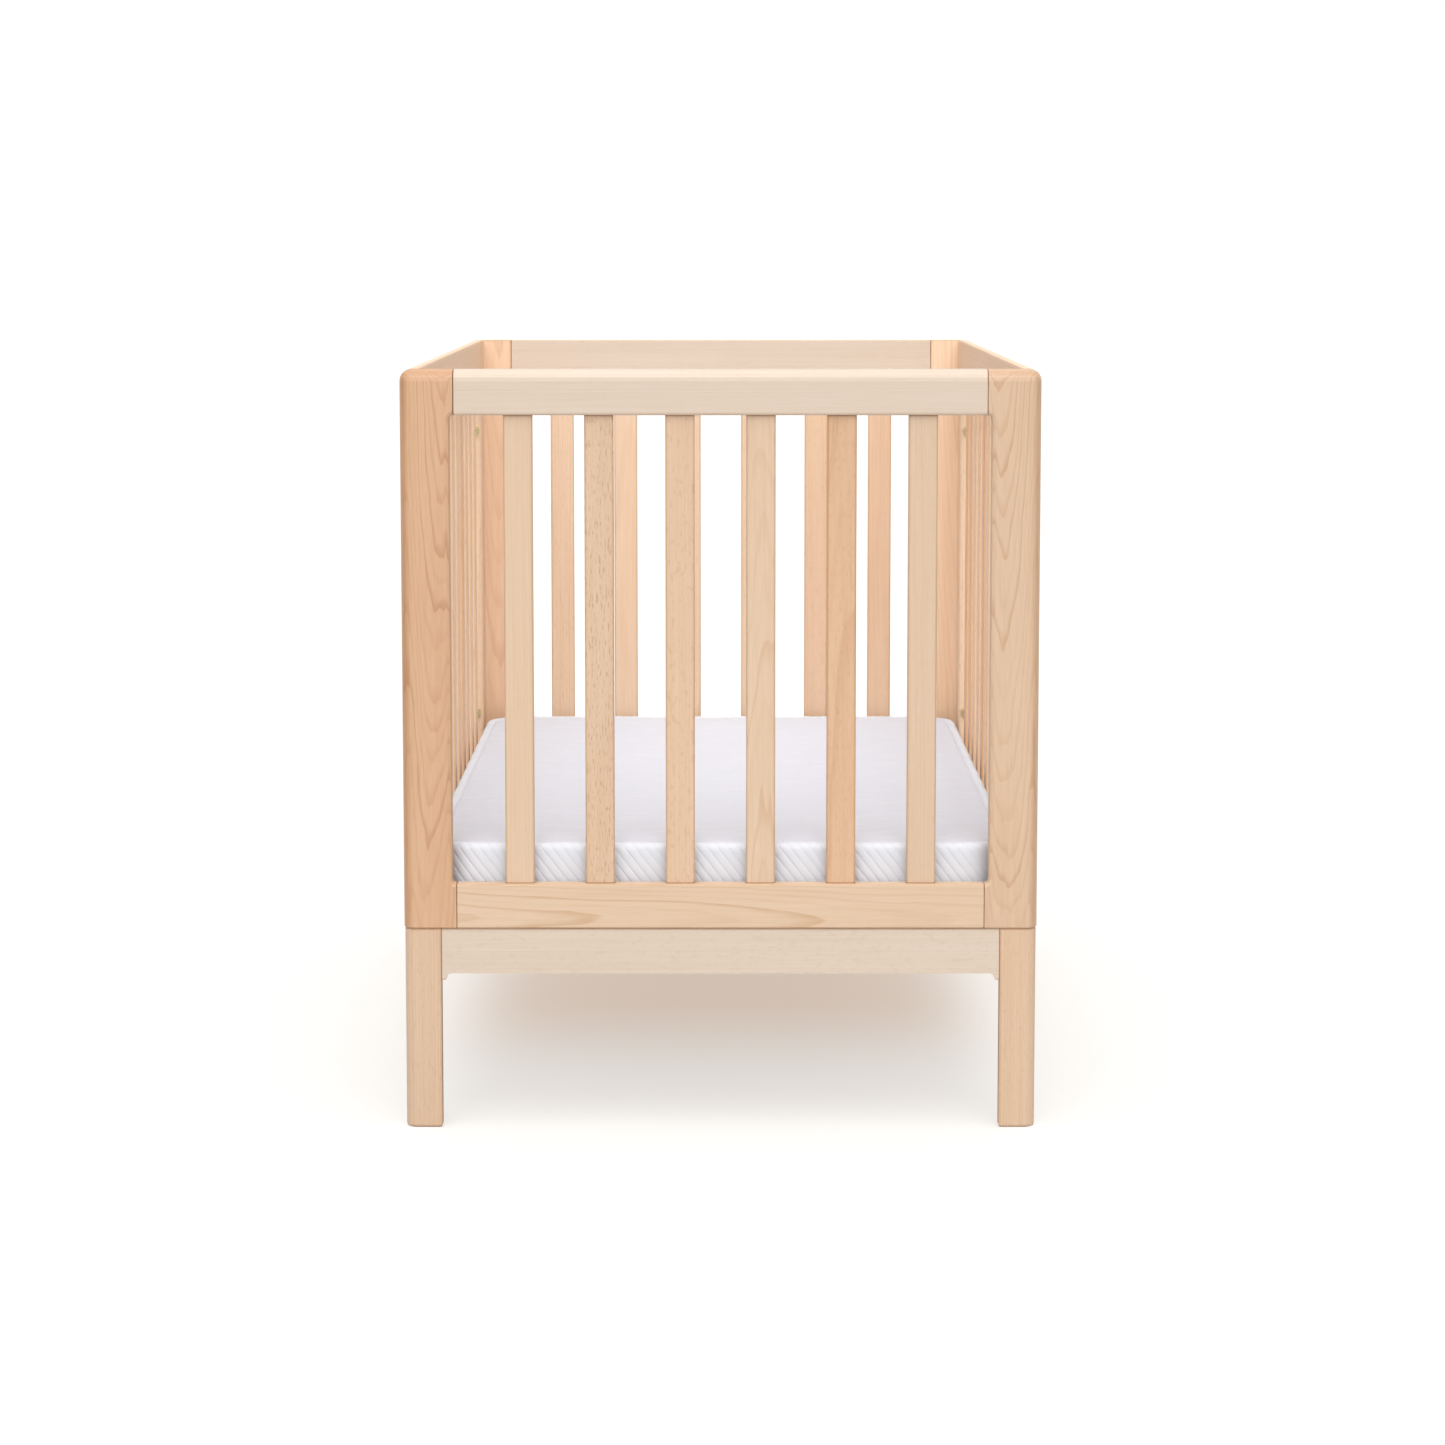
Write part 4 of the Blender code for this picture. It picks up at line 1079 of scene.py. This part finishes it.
def fill_cover(item):
    """Blows a closed cover up by a few millimetres. Its underside stays flat and its edges, which
    the seams hold, don't draw in."""
    before = [point.co.copy() for point in item.data.vertices]
    facing = [point.normal.copy() for point in item.data.vertices]
    for point, start, end, out in zip(item.data.vertices, before, blow_up(item), facing):
        step = end - start
        step -= out * min(0.0, step.dot(out))
        if step.length > SWELL:
            step = step.normalized() * SWELL
        step.z = max(step.z, body_low.z - start.z)
        point.co = start + step
    item.data.update()


modify(mattress, "REMESH", mode="VOXEL", voxel_size=VOXEL)
fill_cover(mattress)
modify(mattress, "SUBSURF", levels=1, render_levels=1)
smooth(mattress, 80)
swollen = max(point.co.z for point in mattress.data.vertices) - body_high.z
print("cover:", len(mattress.data.polygons), "faces, swollen by", round(swollen * 1000, 1), "mm")

# %% [markdown]
# ## The border
#
# The border is a long ribbon of quilted knit: soft slanting ribs with a narrow groove between
# them. It could be a bump in the material, but the ribs cast real shadows and shape the
# silhouette, so they are modelled. A flat grid is laid out at the ribbon's real length and
# wrapped round the mattress. Across its width the ribbon follows the side, with a round turn over
# the top and bottom edges; along its length it follows the outline, with its round corners.

# %% The path of the border
RIB_PITCH = 0.0115          # from groove to groove, along the border
RIB_SLANT = math.radians(52)
RIB_DEPTH = 0.0008
RIM = 0.035                 # the share of the ribbon's width over which the ribs end at a seam
RIB_COLUMNS = (0.0, 0.08, 0.22, 0.5, 0.78, 0.92)     # where the grid's lines lie across one rib
BORDER_ROWS = 36
SEAM_INSET = 0.0068         # how far in from the side the ribbon turns over
SEAM_DROP = 0.0035          # how far below the crown the border's rim lies
SEAM_TURN = math.radians(150)            # how far it turns over, so that its rim tucks in
RIB_ROUND = 0.4             # below 1, the ribs are flat on top and the grooves are narrow
DECK_GAP = 0.001            # how far the ribbon stays above the deck
half_width = (MATTRESS_HIGH.x - MATTRESS_LOW.x) / 2 - RIB_DEPTH
half_length = (MATTRESS_HIGH.y - MATTRESS_LOW.y) / 2 - RIB_DEPTH
STRAIGHTS = (2 * (half_width - CORNER), 2 * (half_length - CORNER))
ARC = CORNER * math.pi / 2
GIRTH = 2 * (STRAIGHTS[0] + STRAIGHTS[1]) + 4 * ARC


def outline(along):
    """The point on the mattress's outline at a length along it, and the way it faces."""
    rest = along % GIRTH
    heading = 0.0
    middle = Vector((CORNER - half_width, CORNER - half_length))
    for side in range(4):
        straight = STRAIGHTS[side % 2]
        ahead = Vector((math.cos(heading), math.sin(heading)))
        out = Vector((math.sin(heading), -math.cos(heading)))
        if rest <= straight:
            return middle + ahead * rest + out * CORNER, out
        rest -= straight
        middle = middle + ahead * straight
        if rest <= ARC:
            turned = heading + rest / CORNER
            out = Vector((math.sin(turned), -math.cos(turned)))
            return middle + out * CORNER, out
        rest -= ARC
        heading += math.pi / 2
    return middle + out * CORNER, out


def across_border(share):
    """Where the ribbon lies at a share of its width: how far in, how high, and how it faces."""
    low, high = MATTRESS_LOW.z + DECK_GAP, MATTRESS_HIGH.z - SEAM_DROP
    roll = SEAM_INSET
    arc = roll * SEAM_TURN
    side = high - low - 2 * roll
    rest = share * (side + 2 * arc)
    if rest < arc:
        angle = SEAM_TURN - rest / roll
        return roll * (1 - math.cos(angle)), low + roll * (1 - math.sin(angle)), -angle
    rest -= arc
    if rest < side:
        return 0.0, low + roll + rest, 0.0
    angle = (rest - side) / roll
    return roll * (1 - math.cos(angle)), high - roll * (1 - math.sin(angle)), angle


# %% The ribbed ribbon
RIBBON_WELD = 0.0001        # joins the ribbon's two ends


def rib(across):
    """The ribs' shape: round on top, with a narrow groove. It goes from 0 to 1."""
    return abs(math.sin(math.pi * across)) ** RIB_ROUND


def build_border():
    """The border, as a ribbon that is wrapped round the body. The lines of its grid follow the ribs,
    so a few of them are enough to make a narrow groove."""
    pitches = round(GIRTH / RIB_PITCH)
    steps = len(RIB_COLUMNS)
    columns = pitches * steps
    pitch = GIRTH / pitches
    clear_selection()
    bpy.ops.mesh.primitive_grid_add(x_subdivisions=columns, y_subdivisions=BORDER_ROWS, size=1.0)
    ribbon = bpy.context.object
    ribbon.name = "mattress_border"
    width = MATTRESS_HIGH.z - MATTRESS_LOW.z
    layer = ribbon.data.uv_layers.active
    for loop in ribbon.data.loops:
        co = ribbon.data.vertices[loop.vertex_index].co
        layer.data[loop.index].uv = ((co.x + 0.5) * GIRTH, (co.y + 0.5) * width)
    for point in ribbon.data.vertices:
        column, share = round((point.co.x + 0.5) * columns), point.co.y + 0.5
        across = RIB_COLUMNS[column % steps]
        inset, height, lean = across_border(share)
        along = (column // steps + across) * pitch - height / math.tan(RIB_SLANT)
        foot, out = outline(along)
        fade = min(1.0, share / RIM, (1 - share) / RIM)
        lift = RIB_DEPTH * (rib(across) * fade - (1 - fade))
        flat = foot - out * (inset - math.cos(lean) * lift)
        point.co = (flat.x, flat.y, height + math.sin(lean) * lift)
    ribbon.data.update()
    take(ribbon)
    bpy.ops.object.mode_set(mode="EDIT")
    bpy.ops.mesh.select_all(action="SELECT")
    bpy.ops.mesh.remove_doubles(threshold=RIBBON_WELD)
    bpy.ops.object.mode_set(mode="OBJECT")
    smooth(ribbon, 80)
    return ribbon


border = build_border()
print("border:", len(border.data.polygons), "faces,", round(GIRTH, 3), "m round")

# %% [markdown]
# ## The seams
#
# Where the border meets a panel, the two edges are sewn together over a thin welt. It is a fine
# cord that follows the outline, so it is a curve with a round bevel, made a mesh at the end.

# %% Seam welts
WELT_RADIUS = 0.0011
WELT_SHARE = 0.008          # where on the ribbon's width the welt lies, from either edge
WELT_POINTS = 240


def welt(name, share):
    """A thin welt along one edge of the border."""
    inset, height, _ = across_border(share)
    line = bpy.data.curves.new(name, "CURVE")
    line.dimensions = "3D"
    line.bevel_depth = WELT_RADIUS
    line.bevel_resolution = 2
    spline = line.splines.new("POLY")
    spline.points.add(WELT_POINTS - 1)
    spline.use_cyclic_u = True
    for number, point in enumerate(spline.points):
        foot, out = outline(GIRTH * number / WELT_POINTS)
        flat = foot - out * inset
        point.co = (flat.x, flat.y, height, 1.0)
    curve = bpy.data.objects.new(name, line)
    bpy.context.collection.objects.link(curve)
    take(curve)
    bpy.ops.object.convert(target="MESH")
    smooth(bpy.context.object, 60)
    return bpy.context.object


welts = [welt("mattress_bottom_seam", WELT_SHARE), welt("mattress_top_seam", 1 - WELT_SHARE)]
print("welts:", [len(piece.data.polygons) for piece in welts], "faces")

# %% [markdown]
# ## Knitted cloth
#
# The cover is a dense white jersey, so its loops are only about a millimetre across: two waves at
# right angles give the rows of loops. On the panels a faint knitted-in figure of drawn-out leaves
# catches the light, which is made by bending a wave with a slow noise. One group does both, and
# the border uses it with its own map so that the loops follow the ribbon round the corners.

# %% Knit group and the cover's materials
LOOP = (0.0011, 0.000825)   # one stitch, across and along a row
LEAF_TURNS = 190.0          # radians per metre of the wave that draws the leaves
LEAF_BEND = 26.0            # how far the slow noise bends it, in radians
BEND_WAVES = 16.0           # waves per metre of that noise
LEAF_EDGES = (-0.2, 0.6)
GAP_WAVES = 30.0            # waves per metre of the noise that parts one leaf from the next
GAP_EDGES = (0.42, 0.58)
LOOP_SHARE = 0.6            # of the shading; the leaves have the rest
LOOP_HEIGHT = 0.35          # beside a leaf's height of 1
NAP_ROUGHNESS = 0.9
LEAF_GLOSS = 0.12           # how much smoother a leaf is
CLOTH_BUMP_DEPTH = 0.0004
CLOTH_BUMP_STRENGTH = 0.5
FUZZ = 0.15                 # sheen of the cover's nap
FUZZ_ROUGHNESS = 0.5


def build_knit():
    """The node group for knitted cloth."""
    inputs = [("Place", "Vector", None), ("Figure", "Float", 0.5), ("Thread", "Color", None),
              ("Shadow", "Color", None)]
    outputs = [("Color", "Color"), ("Roughness", "Float"), ("Height", "Float")]
    tree, given, result = new_group("knit", inputs, outputs)
    given = given.outputs
    place = given["Place"]
    axes = add_node(tree, "SeparateXYZ", None, Vector=place).outputs
    waves = []
    for axis, pitch in zip("XY", LOOP):
        turn = maths(tree, "MULTIPLY", axes[axis], 2 * math.pi / pitch)
        waves.append(maths(tree, "SINE", turn))
    loops = maths(tree, "ADD", maths(tree, "MULTIPLY", *waves), 1.0)
    loops = maths(tree, "MULTIPLY", loops, 0.5)

    bend = maths(tree, "MULTIPLY", noise(tree, place, BEND_WAVES, BEND_WAVES).outputs["Fac"], LEAF_BEND)
    leaf = maths(tree, "ADD", maths(tree, "MULTIPLY", axes["Y"], LEAF_TURNS), bend)
    leaf = ramp(tree, maths(tree, "SINE", leaf), *LEAF_EDGES)
    gaps = ramp(tree, noise(tree, place, GAP_WAVES, GAP_WAVES, 1.0).outputs["Fac"], *GAP_EDGES)
    leaf = maths(tree, "MULTIPLY", maths(tree, "MULTIPLY", leaf, gaps), given["Figure"])

    shade = maths(tree, "MULTIPLY", leaf, 1 - LOOP_SHARE)
    shade = maths(tree, "ADD", maths(tree, "MULTIPLY", loops, LOOP_SHARE), shade)
    feed(tree, result.inputs["Color"], mix_colours(tree, shade, given["Shadow"], given["Thread"]))
    rough = maths(tree, "SUBTRACT", NAP_ROUGHNESS, maths(tree, "MULTIPLY", leaf, LEAF_GLOSS))
    feed(tree, result.inputs["Roughness"], rough)
    height = maths(tree, "ADD", maths(tree, "MULTIPLY", loops, LOOP_HEIGHT), leaf)
    feed(tree, result.inputs["Height"], height)
    return tree


KNIT = build_knit()


def knitted(name, figure, thread, shadow, map_name=None):
    """White knitted cloth. It reads the piece's own map, or its place in the crib."""
    material, tree, shader = plain_material(name, thread, NAP_ROUGHNESS)
    if map_name:
        where = add_node(tree, "UVMap", {"uv_map": map_name}).outputs["UV"]
    else:
        where = add_node(tree, "TexCoord").outputs["Object"]
    cloth = add_node(tree, "Group", {"node_tree": KNIT}, Place=where, Figure=figure,
                     Thread=(*thread, 1.0), Shadow=(*shadow, 1.0))
    dress(tree, shader, cloth, cloth.outputs["Color"], CLOTH_BUMP_DEPTH, CLOTH_BUMP_STRENGTH)
    shader.inputs["Sheen Weight"].default_value = FUZZ
    shader.inputs["Sheen Roughness"].default_value = FUZZ_ROUGHNESS
    return material


PANEL_YARN = ((0.65, 0.665, 0.727), (0.59, 0.60, 0.665))       # thread, and the shadow between loops
BORDER_YARN = ((0.705, 0.725, 0.775), (0.64, 0.655, 0.71))
mattress.data.materials.append(knitted("panel_knit", 0.6, *PANEL_YARN))
border_knit = knitted("border_knit", 0.0, *BORDER_YARN, border.data.uv_layers.active.name)
border.data.materials.append(border_knit)
seam_knit = knitted("seam_knit", 0.0, *PANEL_YARN)
for piece in welts:
    piece.data.materials.append(seam_knit)
for piece in (mattress, border, *welts):
    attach(piece, "mattress_body")
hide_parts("mattress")
print("cover's pieces:", ", ".join(piece.name for piece in (mattress, border, *welts)))
